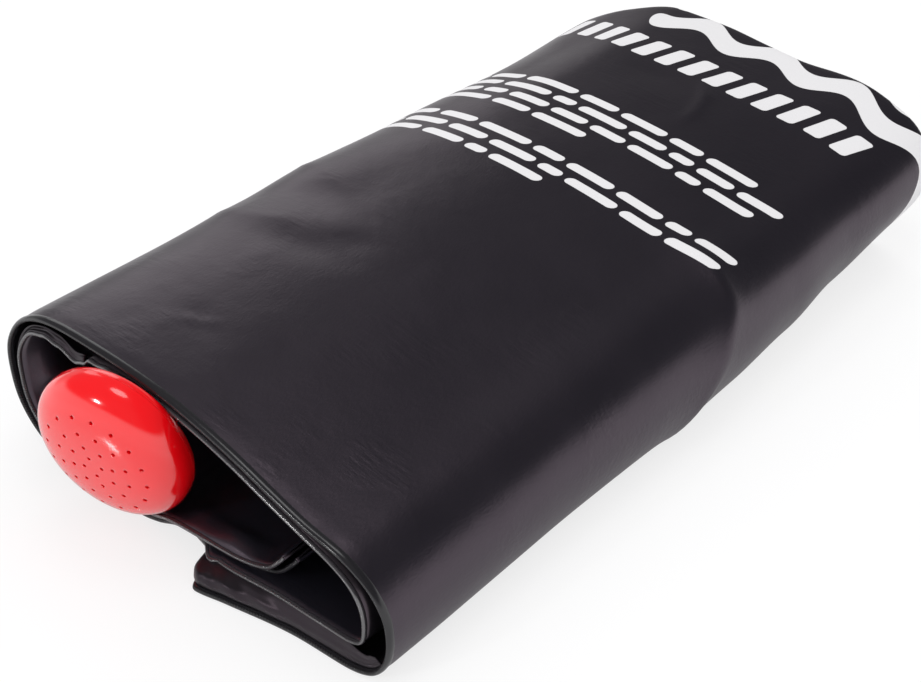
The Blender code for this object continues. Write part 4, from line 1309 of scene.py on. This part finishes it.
def makeSprayFace():
    place = headFrame()
    radius, wall = head["radius"], head["wall"]
    outer = [spot for spot in bunOutline() if spot[1] > head["splitAt"]]
    inner = [(max(0.0, r - wall * (r / radius) ** head["thinPower"]), z - wall) for r, z in outer if z > wall]
    innerRadius = radius - wall * head["innerWalls"]
    skirt = rounded([
        outer[-1], (outer[-1][0], head["splitAt"]), (innerRadius, head["splitAt"]),
        (innerRadius, 0.0), inner[-1]], head["skirtSoft"])
    profile = outer[:-1] + skirt[:-1] + list(reversed(inner))
    face = spun("sprayFace", profile, head["steps"], place, False)
    holes = []
    for share, number in head["ringShares"]:
        for index in range(number):
            angle = math.tau * (index + share) / number
            spot = (radius * share * math.cos(angle), radius * share * math.sin(angle), head["holeAt"])
            holes.append(place @ Matrix.Translation(spot))
    drill = pins("sprayHoles", head["holeRadius"], head["holeSides"], head["holeLong"], holes)
    combine(face, drill, "DIFFERENCE", False)
    dress(face, redShell, "spray_head", "head_face")


def makeSprayBody():
    radius, wall = head["radius"], head["wall"]
    front = head["splitAt"] - head["splitGap"]
    inner = radius - wall * head["innerWalls"]
    hip, nape = radius * head["hipShare"], radius * head["napeShare"]
    outer = [spot for spot in bunOutline() if spot[1] < front]
    profile = [
        (inner, -head["bandDepth"] + wall / 2),
        (inner, front),
        (outer[0][0], front),
    ] + outer + [
        (hip, -head["hipBack"]),
        (nape, -head["napeBack"]),
        (head["neckRadius"], -head["neckStart"]),
        (head["neckRadius"], -head["neckEnd"]),
        (head["boreRadius"], -head["neckEnd"]),
        (head["boreRadius"], -head["sealEnd"]),
        (head["sealRadius"], -head["sealEnd"]),
        (head["sealRadius"], -head["sealStart"]),
        (nape - wall, -head["napeBack"] + wall / 2),
        (hip - wall, -head["hipBack"] + wall),
    ]
    turnPiece("sprayBody", "head_body", redShell, profile, headFrame(), head["steps"], (0.0006, 4),
              "spray_head")


makeSprayFace()
makeSprayBody()
print("spray head turned")


# Plated brass with rubbed and dulled places
plating = {
    "tints": ((0.66, 0.63, 0.58), (0.42, 0.40, 0.36)),
    "dullScale": 260.0,
    "dullFade": (0.45, 0.65),
    "dullRough": 0.20,
    "rough": 0.24,
    "scratchScale": 700.0,
    "scratchStretch": (1.0, 1.0, 9.0),
    "scratchBump": (0.00002, 0.5),
}


def rolledMetal():
    material, flow = startMaterial("eyeletMetal")
    dull = noise(flow, objectPlace(flow), plating["dullScale"], 4.0).fade(*plating["dullFade"])
    scratch = noise(flow, objectPlace(flow, plating["scratchStretch"]), plating["scratchScale"], 2.0)
    closePrincipled(flow, {
        "Base Color": mixColour(flow, dull, *(shaded(tint, 1.0) for tint in plating["tints"])),
        "Metallic": 1.0, "Roughness": plating["rough"] + dull * plating["dullRough"],
        "Normal": bump(flow, scratch, *plating["scratchBump"])})
    return material


eyeletMetal = (rolledMetal(), "eyelet_metal")

# Valve stem that the head slides on, depths back along the head's axis
stem = {
    "radius": 0.0045,
    "tip": 0.0202,
    "tipWall": 0.0026,
    "bore": 0.0024,
    "frontRing": 0.0218,
    "stopRadius": 0.0071,
    "stopFront": 0.0274,
    "stopLength": 0.0056,
    "shoulderRadius": 0.0055,
    "shoulderStart": 0.0526,
    "shoulderEnd": 0.0548,
    "end": 0.0680,
    "grooveDepth": 0.0012,
    "grooveWidth": 0.0022,
    "ringWire": 0.0006,
    "ringGap": 0.0003,
    "portAt": 0.0246,
    "portRadius": 0.0008,
    "portSides": 16,
    "ringSides": 14,
    "collarFlange": 0.0024,
    "travel": 0.0075,
    "stopGap": 0.0004,
    "steps": 48,
}

barb = {
    "tip": 0.0025,
    "root": 0.0021,
    "bore": 0.0014,
    "ridges": 3,
    "crestShare": 0.6,
    "stepShare": 0.7,
}


def barbPoints(start, end):
    # Ridges of a push-on spigot from its shoulder to its tip
    pitch = (start - end) / barb["ridges"]
    points = [(barb["root"], start)]
    for ridge in range(barb["ridges"]):
        foot = start - pitch * (ridge + 1)
        points.append((barb["root"], foot + pitch * barb["stepShare"]))
        points.append((barb["tip"], foot + pitch * barb["crestShare"]))
        points.append((barb["root"], foot))
    return points


def groovePoints(radius, middle):
    # An O-ring's groove in a spigot of this radius
    half = stem["grooveWidth"] / 2
    foot = radius - stem["grooveDepth"]
    return [(radius, middle + half), (foot, middle + half), (foot, middle - half), (radius, middle - half)]


def makeRing(name, node, radius, height, steps, place):
    # The O-ring that sits in such a groove
    wire = stem["ringWire"]
    middle = radius - stem["grooveDepth"] + stem["ringGap"] + wire
    angles = [math.pi / 2 - math.tau * step / stem["ringSides"] for step in range(stem["ringSides"])]
    ring = [(middle + wire * math.cos(angle), height + wire * math.sin(angle)) for angle in angles]
    turnPiece(name, node, sealRubber, ring, place, steps, None)


def makeStem():
    place = headFrame()
    radius, stopRadius, shoulder = stem["radius"], stem["stopRadius"], stem["shoulderRadius"]
    stopRear = stem["stopFront"] + stem["stopLength"]
    rearRing = stem["stopFront"] + stem["stopLength"] / 2
    well = stem["tip"] + stem["tipWall"]
    profile = [(0.0, -stem["tip"]), (radius, -stem["tip"])]
    profile += groovePoints(radius, -stem["frontRing"])
    profile += [(radius, -stem["stopFront"]), (stopRadius, -stem["stopFront"])]
    profile += groovePoints(stopRadius, -rearRing)
    profile += [
        (stopRadius, -stopRear),
        (radius, -stopRear),
        (radius, -stem["shoulderStart"]),
        (shoulder, -stem["shoulderStart"]),
        (shoulder, -stem["shoulderEnd"]),
    ] + barbPoints(-stem["shoulderEnd"], -stem["end"]) + [
        (barb["bore"], -stem["end"]),
        (barb["bore"], -stem["shoulderEnd"]),
        (stem["bore"], -stem["shoulderStart"]),
        (stem["bore"], -well),
        (0.0, -well),
    ]
    piece = spun("valveStem", rounded(profile, 0.00018, 2), stem["steps"], place, False)
    across = Matrix.Translation((0.0, 0.0, -stem["portAt"])) @ Matrix.Rotation(math.pi / 2, 4, "X")
    port = pins("stemPort", stem["portRadius"], stem["portSides"], stopRadius * 2, [place @ across])
    combine(piece, port, "DIFFERENCE")
    dress(piece, blackPlastic, "bag", "valve_stem")
    makeRing("frontStemRing", "stem_o_ring_front", radius, -stem["frontRing"], stem["steps"], place)
    makeRing("rearStemRing", "stem_o_ring_rear", stopRadius, -rearRing, stem["steps"], place)
    front = stopRear + stem["travel"] + stem["stopGap"]
    seat = head["neckEnd"] + stem["ringGap"]
    rear = seat + stem["collarFlange"]
    bore = radius + stem["ringGap"]
    plug = head["boreRadius"] - stem["ringGap"]
    collar = [(bore, -(front + rear) / 2), (bore, -front), (plug, -front), (plug, -seat),
              (head["neckRadius"], -seat), (head["neckRadius"], -rear), (bore, -rear)]
    turnPiece("neckCollar", "neck_collar", blackPlastic, collar, place, 96, (0.0004, 3), "spray_head")


makeStem()
print("valve stem and collar turned")

# The hose's way from the stem along the hollow's floor to the outlet, as in the part's source:
# across in half widths, along in lengths, up in heights above where it lies on the floor
hose = {
    "radius": 0.0040,
    "wall": 0.0009,
    "lowest": 0.0097,
    "height": 0.059,
    "length": 0.555,
    "start": 0.0551,
    "endGap": 0.0074,
    "barbReach": 0.0200,
    "outletHeight": 0.0190,
    "fallShares": (
        (-0.570, 0.300, 0.537), (-0.656, 0.386, 0.394), (-0.755, 0.471, 0.207), (-0.824, 0.546, 0.083),
        (-0.842, 0.611, 0.046)),
    "farCentreShares": (-0.347, 0.662),
    "farReachShares": (0.495, 0.137),
    "farRiseShares": (0.043, 0.018, 0.000, 0.029, 0.105, 0.147, 0.150),
    "runShares": ((0.136, 0.553, 0.147), (0.124, 0.437, 0.147)),
    "nearCentreShares": (-0.285, 0.324),
    "nearReachShares": (0.409, -0.113),
    "nearRiseShares": (0.147, 0.144, 0.116, 0.058, 0.006, 0.002, 0.008),
    "riseShares": ((0.105, 0.30, 0.20), (0.480, 0.62, 0.58)),
    "steps": 10,
    "around": 28,
}


def hoseSpot(across, along, rise):
    return foldSpot((across, along), hose["lowest"] + rise * hose["height"])


def hoseBend(centre, reach, first, last, rises):
    points = []
    for index, rise in enumerate(rises):
        angle = first + (last - first) * index / (len(rises) - 1)
        points.append(hoseSpot(centre[0] + reach[0] * math.cos(angle),
                               centre[1] + reach[1] * math.sin(angle), rise))
    return points


def hoseRoute():
    place = headFrame()
    end = foldSpot(spots["outletShares"], hose["outletHeight"]) - Vector((0.0, hose["endGap"], 0.0))
    barbEnd = end + Vector((0.0, hose["endGap"] - hose["barbReach"], 0.0))
    backs = (hose["start"], stem["end"], stem["end"] + hose["radius"] * 2)
    route = [place @ Vector((0.0, 0.0, -back)) for back in backs]
    route += [hoseSpot(*shares) for shares in hose["fallShares"]]
    route += hoseBend(hose["farCentreShares"], hose["farReachShares"], math.pi, 0.0, hose["farRiseShares"])
    route += [hoseSpot(*shares) for shares in hose["runShares"]]
    route += hoseBend(hose["nearCentreShares"], hose["nearReachShares"], 0.0, math.pi, hose["nearRiseShares"])
    last = route[-1]
    way = barbEnd - last
    for across, along, up in hose["riseShares"]:
        route.append(last + Vector((way.x * across, way.y * along, way.z * up)))
    return route + [barbEnd - Vector((0.0, hose["radius"], 0.0)), barbEnd, end]


def smoothLine(points):
    # Even points on the smooth curve through a route's own points
    padded = [points[0] * 2 - points[1]] + points + [points[-1] * 2 - points[-2]]
    line = []
    for index in range(1, len(padded) - 2):
        a, b, c, d = padded[index - 1:index + 3]
        for step in range(hose["steps"]):
            t = step / hose["steps"]
            bow = (a * -1 + b * 3 - c * 3 + d) * t ** 3 + (a * 2 - b * 5 + c * 4 - d) * t ** 2
            line.append((bow + (c - a) * t + b * 2) / 2)
    return line + [points[-1]]


def sweepTube(name, line, radius, around):
    # A round tube along a line: one ring of points, extruded from point to point
    shape = bmesh.new()
    bmesh.ops.create_circle(shape, cap_ends=False, segments=around, radius=radius)
    ahead = (line[1] - line[0]).normalized()
    turned = ahead.to_track_quat("Z", "Y")
    ring = list(shape.verts)
    edges = list(shape.edges)
    for vert in ring:
        vert.co = line[0] + turned @ vert.co
    for index in range(1, len(line)):
        after = line[min(index + 1, len(line) - 1)]
        way = (after - line[index - 1]).normalized()
        lean = ahead.rotation_difference(way)
        made = bmesh.ops.extrude_edge_only(shape, edges=edges)["geom"]
        ring = [item for item in made if isinstance(item, bmesh.types.BMVert)]
        edges = [item for item in made if isinstance(item, bmesh.types.BMEdge)
                 and item.verts[0] in ring and item.verts[1] in ring]
        for vert in ring:
            vert.co = line[index] + lean @ (vert.co - line[index - 1])
        ahead = way
    return finished(name, shape)


def makeHose():
    line = smoothLine(hoseRoute())
    piece = sweepTube("fillHose", line, hose["radius"], hose["around"])
    addWall(piece, hose["wall"], -1.0)
    applyModifiers(piece)
    dress(piece, hoseVinyl, "bag", "hose")
    length = sum((second - first).length for first, second in zip(line, line[1:]))
    print("hose length", round(length, 4))


makeHose()

clip = {
    "inner": 0.0043,
    "wall": 0.0012,
    "length": 0.0060,
    "inset": 0.0035,
    "lip": 0.0004,
    "lipShares": (0.78, 0.68, 0.32, 0.22),
}


def makeClip(name, node, place):
    # A sleeve with a lip at each end
    inner, length = clip["inner"], clip["length"]
    outer = inner + clip["wall"]
    waist = outer - clip["lip"]
    upper, upperFoot, lowerFoot, lower = (length * share for share in clip["lipShares"])
    profile = [(inner, length / 2), (inner, length), (outer, length), (outer, upper), (waist, upperFoot),
               (waist, lowerFoot), (outer, lower), (outer, 0.0), (inner, 0.0)]
    turnPiece(name, node, blackPlastic, profile, place, 64)


outletHose = foldSpot(spots["outletShares"], hose["outletHeight"])
outletHose.y -= hose["endGap"] + clip["inset"]
stemHose = Vector((0.0, 0.0, -stem["shoulderEnd"] - clip["inset"] - clip["length"]))
makeClip("stemClip", "hose_clip_stem", headFrame() @ Matrix.Translation(stemHose))
makeClip("outletClip", "hose_clip_outlet",
         Matrix.Translation(outletHose) @ Matrix.Rotation(math.pi / 2, 4, "X"))
print("hose and clips in place")

# Outlet and filler, heights above the fold's underside
outlet = {
    "low": 0.0060,
    "flangeRadius": 0.0130,
    "flangeWall": 0.0012,
    "flangeEdgeShare": 0.8,
    "socketRadius": 0.0076,
    "socketBore": 0.0055,
    "socketHeight": 0.0082,
    "socketFloor": 0.0014,
    "plugRadius": 0.0050,
    "plugLength": 0.0062,
    "elbowRadius": 0.0066,
    "elbowHeight": 0.0090,
    "waistShare": 0.62,
    "crown": 0.0016,
    "crownShare": 0.75,
    "crownEdge": 0.0004,
    "seat": 0.0145,
    "patchRadius": 0.0142,
    "patchBore": 0.0028,
    "boreEnd": 0.0208,
}
weldPatch = {
    "low": 0.0052,
    "high": 0.0057,
    "edge": 0.0001,
    "ringSteps": (0.0002, 0.0005, 0.0007, 0.0009),
    "ringDepth": 0.00015,
}


def makePatch(name, node, radius, bore, place):
    # A thin disc with a pressed weld ring near its rim
    low, high = weldPatch["low"], weldPatch["high"]
    edge, outer, middle, inner = (radius - step for step in weldPatch["ringSteps"])
    profile = [(bore, (low + high) / 2), (bore, low), (radius, low), (radius, high - weldPatch["edge"]),
               (edge, high), (outer, high), (middle, high - weldPatch["ringDepth"]), (inner, high),
               (bore, high)]
    turnPiece(name, node, patchFilm, profile, place, 96, None)


def makeFlange(place):
    low, bore = outlet["low"], outlet["socketBore"]
    top = low + outlet["socketHeight"]
    foot = low + outlet["socketFloor"]
    wall = outlet["flangeWall"]
    profile = [
        (bore, (low + top) / 2),
        (bore, top),
        (outlet["socketRadius"], top),
        (outlet["socketRadius"], low + wall),
        (outlet["flangeRadius"], low + wall * outlet["flangeEdgeShare"]),
        (outlet["flangeRadius"], low),
        (barb["tip"], low),
        (barb["tip"], foot),
        (bore, foot),
    ]
    turnPiece("outletFlange", "outlet_flange", blackPlastic, profile, place, 96, (0.00035, 4))


def makeElbow(place):
    # Its upright plug and crown, then the barbed spigot that lies along the fold
    radius, plug, seat = outlet["elbowRadius"], outlet["plugRadius"], outlet["seat"]
    crown = seat + outlet["elbowHeight"]
    foot = seat - outlet["plugLength"]
    groove = seat - outlet["plugLength"] / 2
    boreTop = hose["outletHeight"] + stem["bore"]
    profile = [
        (0.0, crown + outlet["crown"]),
        (radius * outlet["waistShare"], crown + outlet["crown"] * outlet["crownShare"]),
        (radius, crown - outlet["crownEdge"]),
        (radius, seat),
        (plug, seat),
    ] + groovePoints(plug, groove) + [
        (plug, foot),
        (stem["bore"], foot),
        (stem["bore"], boreTop),
        (0.0, boreTop),
    ]
    elbow = spun("outletElbow", rounded(profile, 0.0005, 4), 72, place, False)
    lying = Matrix.Translation((0.0, 0.0, hose["outletHeight"])) @ Matrix.Rotation(-math.pi / 2, 4, "X")
    lying = place @ lying
    inWall = (stem["bore"] + radius) / 2
    spigot = [(0.0, -inWall), (barb["root"], -inWall)]
    spigot += barbPoints(-radius, -hose["barbReach"]) + [(0.0, -hose["barbReach"])]
    combine(elbow, spun("spigot", rounded(spigot, 0.00015, 2), 40, lying, False), "UNION")
    bore = [(0.0, 0.0), (barb["bore"], 0.0), (barb["bore"], -outlet["boreEnd"]), (0.0, -outlet["boreEnd"])]
    combine(elbow, spun("spigotBore", bore, 32, lying, False), "DIFFERENCE")
    dress(elbow, blackPlastic, "bag", "outlet_elbow")
    makeRing("outletRing", "outlet_o_ring", plug, groove, 64, place)


outletPlace = Matrix.Translation(foldSpot(spots["outletShares"], 0.0))
makePatch("outletPatch", "outlet_patch", outlet["patchRadius"], outlet["patchBore"], outletPlace)
makeFlange(outletPlace)
makeElbow(outletPlace)

filler = {
    "low": 0.0060,
    "flangeRadius": 0.0160,
    "flangeWall": 0.0012,
    "neckRadius": 0.0115,
    "neckBore": 0.0095,
    "neckHeight": 0.0140,
    "footRadius": 0.0130,
    "patchRadius": 0.0172,
    "patchBore": 0.0098,
    "threadPitch": 0.0024,
    "threadProud": 0.0003,
    "threads": 2,
    "threadTop": 0.0020,
    "threadFoot": 0.0006,
    "threadCrest": 0.0002,
    "threadInset": 0.0002,
    "flangeEdgeShare": 0.85,
    "capBore": 0.0119,
    "capRadius": 0.0140,
    "capLow": 0.0116,
    "capRoof": 0.0218,
    "capTop": 0.0238,
    "ribs": 18,
    "ribProud": 0.0008,
    "ribSideShares": (0.204, 0.442),
    "ribEnds": (0.0009, 0.0021),
    "ribReach": 0.0002,
    "skirtSteps": 16,
    "sealLow": 0.0203,
    "sealHigh": 0.0215,
    "knobRadius": 0.0030,
    "knobTop": 0.0268,
    "knobHead": 0.0042,
    "knobHeadTop": 0.0280,
    "strapWall": 0.0012,
    "strapHalf": 0.0025,
    "strapBend": 0.0022,
    "strapInnerBend": 0.0010,
    "strapEdge": 0.00022,
    "ringLow": 0.0092,
    "ringWall": 0.0026,
    "loopLow": 0.0241,
    "loopRadius": 0.0034,
    "reach": 0.0176,
}


def makeSpout(place):
    low, bore, neck = filler["low"], filler["neckBore"], filler["neckRadius"]
    top = low + filler["neckHeight"]
    base = low + filler["flangeWall"]
    root = neck - filler["threadInset"]
    proud = root + filler["threadProud"]
    foot, tip = filler["threadFoot"], filler["threadCrest"]
    profile = [(bore, (low + top) / 2), (bore, top), (root, top)]
    for thread in range(filler["threads"]):
        crest = top - filler["threadTop"] - thread * filler["threadPitch"]
        profile += [(root, crest + foot), (proud, crest + tip), (proud, crest - tip), (root, crest - foot)]
    profile += [
        (neck, base + foot),
        (filler["footRadius"], base),
        (filler["flangeRadius"], low + filler["flangeWall"] * filler["flangeEdgeShare"]),
        (filler["flangeRadius"], low),
        (bore, low),
    ]
    turnPiece("fillSpout", "fill_spout", blackPlastic, profile, place)
    makePatch("spoutPatch", "spout_patch", filler["patchRadius"], filler["patchBore"], place)


def makeCap(place):
    # Its skirt pushed out into grip ribs, each tapering at its ends
    radius, bore, knob = filler["capRadius"], filler["capBore"], filler["knobRadius"]
    low, top, roof = filler["capLow"], filler["capTop"], filler["capRoof"]
    profile = [
        (0.0, filler["knobHeadTop"]),
        (filler["knobHead"], filler["knobHeadTop"]),
        (filler["knobHead"], filler["knobTop"]),
        (knob, filler["knobTop"]),
        (knob, top),
    ]
    skirtSteps = filler["skirtSteps"]
    profile += [(radius, top - (top - low) * step / skirtSteps) for step in range(skirtSteps + 1)]
    profile += [(bore, low), (bore, roof), (0.0, roof)]
    cap = spun("fillCap", rounded(profile, 0.0004, 2), filler["ribs"] * 12, Matrix(), False)
    for vert in cap.data.vertices:
        away = math.hypot(vert.co.x, vert.co.y)
        if away > radius - filler["ribReach"]:
            turn = math.atan2(vert.co.y, vert.co.x) * filler["ribs"] / math.tau
            side = abs(turn - round(turn)) * 2
            rise = min(vert.co.z - low, top - vert.co.z)
            proud = filler["ribProud"] * ease(rise, *filler["ribEnds"])
            proud *= 1 - ease(side, *filler["ribSideShares"])
            vert.co.x *= 1 + proud / away
            vert.co.y *= 1 + proud / away
    cap.data.transform(place)
    cap.data.update()
    dress(cap, capPlastic, "cap", "fill_cap")
    seal = ringBand(filler["neckBore"], filler["neckRadius"], filler["sealLow"], filler["sealHigh"])
    turnPiece("capSeal", "cap_seal", sealRubber, seal, place, 96, None, "cap_carrier")


def ringBand(inner, outer, low, high):
    # A flat ring with softened edges
    return rounded([(inner, (low + high) / 2), (inner, low), (outer, low), (outer, high), (inner, high)],
                   0.0003, 3)


def strapShape(place):
    # The strap's side outline, extruded to its width, with its long edges bevelled
    ringMiddle = filler["capBore"] + filler["ringWall"] / 2
    loopMiddle = filler["loopRadius"] + filler["ringWall"] / 2
    wall, reach, low = filler["strapWall"], filler["reach"], filler["ringLow"]
    high = filler["loopLow"] + wall
    side = rounded([(ringMiddle, low), (reach, low), (reach, high), (loopMiddle, high)],
                   filler["strapBend"], 6)
    side += reversed(rounded([
        (ringMiddle, low + wall), (reach - wall, low + wall), (reach - wall, high - wall),
        (loopMiddle, high - wall)], filler["strapInnerBend"], 6))
    shape = bmesh.new()
    verts = [shape.verts.new((-filler["strapHalf"], out, up)) for out, up in side]
    shape.faces.new(verts)
    made = bmesh.ops.extrude_face_region(shape, geom=list(shape.faces))["geom"]
    moved = [item for item in made if isinstance(item, bmesh.types.BMVert)]
    bmesh.ops.translate(shape, verts=moved, vec=(filler["strapHalf"] * 2, 0.0, 0.0))
    ends = [edge for edge in shape.edges
            if abs(edge.verts[0].co.x - edge.verts[1].co.x) < making["mergeGap"]]
    bmesh.ops.bevel(shape, geom=ends, offset=filler["strapEdge"], affect="EDGES", segments=2, profile=0.5,
                    material=-1)
    return finished("tetherStrap", shape, place, smooth=False)


def makeTether(place):
    wall, ringWall = filler["strapWall"], filler["ringWall"]
    low, loopLow = filler["ringLow"], filler["loopLow"]
    inner, loop = filler["capBore"], filler["loopRadius"]
    tether = spun("capTether", ringBand(inner, inner + ringWall, low, low + wall), 96, place)
    top = spun("tetherLoop", ringBand(loop, loop + ringWall, loopLow, loopLow + wall), 48, place)
    combine(tether, top, "UNION")
    combine(tether, strapShape(place), "UNION")
    for face in tether.data.polygons:
        face.use_smooth = True
    dress(tether, blackPlastic, "cap_carrier", "cap_tether")


fillerPlace = Matrix.Translation(foldSpot(spots["fillerShares"], 0.0))
makeSpout(fillerPlace)
makeCap(fillerPlace)
makeTether(fillerPlace)
print("outlet and filler in place")

# Eyelets rolled through the inner half, heights inward from the hem depth's middle
eyelet = {
    "barrel": 0.0032,
    "bore": 0.0027,
    "flange": 0.0060,
    "flangeWall": 0.0004,
    "lip": 0.0044,
    "washer": 0.0062,
    "washerWall": 0.0005,
    "filmHalf": 0.00105,
    "gap": 0.00012,
    "lipGap": 0.0001,
    "edgeShare": 0.6,
    "step": 0.0001,
}


def makeEyelet(side):
    # Its barrel with the flange at one end and the rolled lip at the other
    place = eyeletFrame(side)
    wall, step = eyelet["flangeWall"], eyelet["step"]
    bore, barrel, lip, flange = (eyelet[part] for part in ("bore", "barrel", "lip", "flange"))
    low = -eyelet["filmHalf"] - eyelet["gap"] - wall
    washerLow = eyelet["filmHalf"] + eyelet["gap"]
    washerTop = washerLow + eyelet["washerWall"]
    lipLow = washerTop + eyelet["lipGap"]
    lipTop = lipLow + wall
    profile = [
        (bore, 0.0),
        (bore, lipTop - step * 2),
        (bore + step * 6, lipTop),
        (lip - step * 4, lipTop - step),
        (lip, lipLow),
        (barrel + step * 3, lipLow),
        (barrel, lipLow - step * 3),
        (barrel, low + wall),
        (flange - step * 3, low + wall),
        (flange, low + wall * eyelet["edgeShare"]),
        (flange - step * 6, low + step),
        (bore + step * 8, low),
        (bore, low + step * 4),
    ]
    turnPiece(side + "Eyelet", "eyelet_" + side, eyeletMetal, profile, place, 64, (0.00015, 2))
    inner, outer = barrel + step * 3, eyelet["washer"]
    ring = [(inner, (washerLow + washerTop) / 2), (inner, washerLow), (outer, washerLow),
            (outer - step, washerTop - step), (outer - step * 6, washerTop), (inner, washerTop)]
    turnPiece(side + "Washer", "eyelet_washer_" + side, eyeletMetal, ring, place, 64, (0.00012, 2))


for side in spots["eyeletSegments"]:
    makeEyelet(side)
print("eyelets in place")
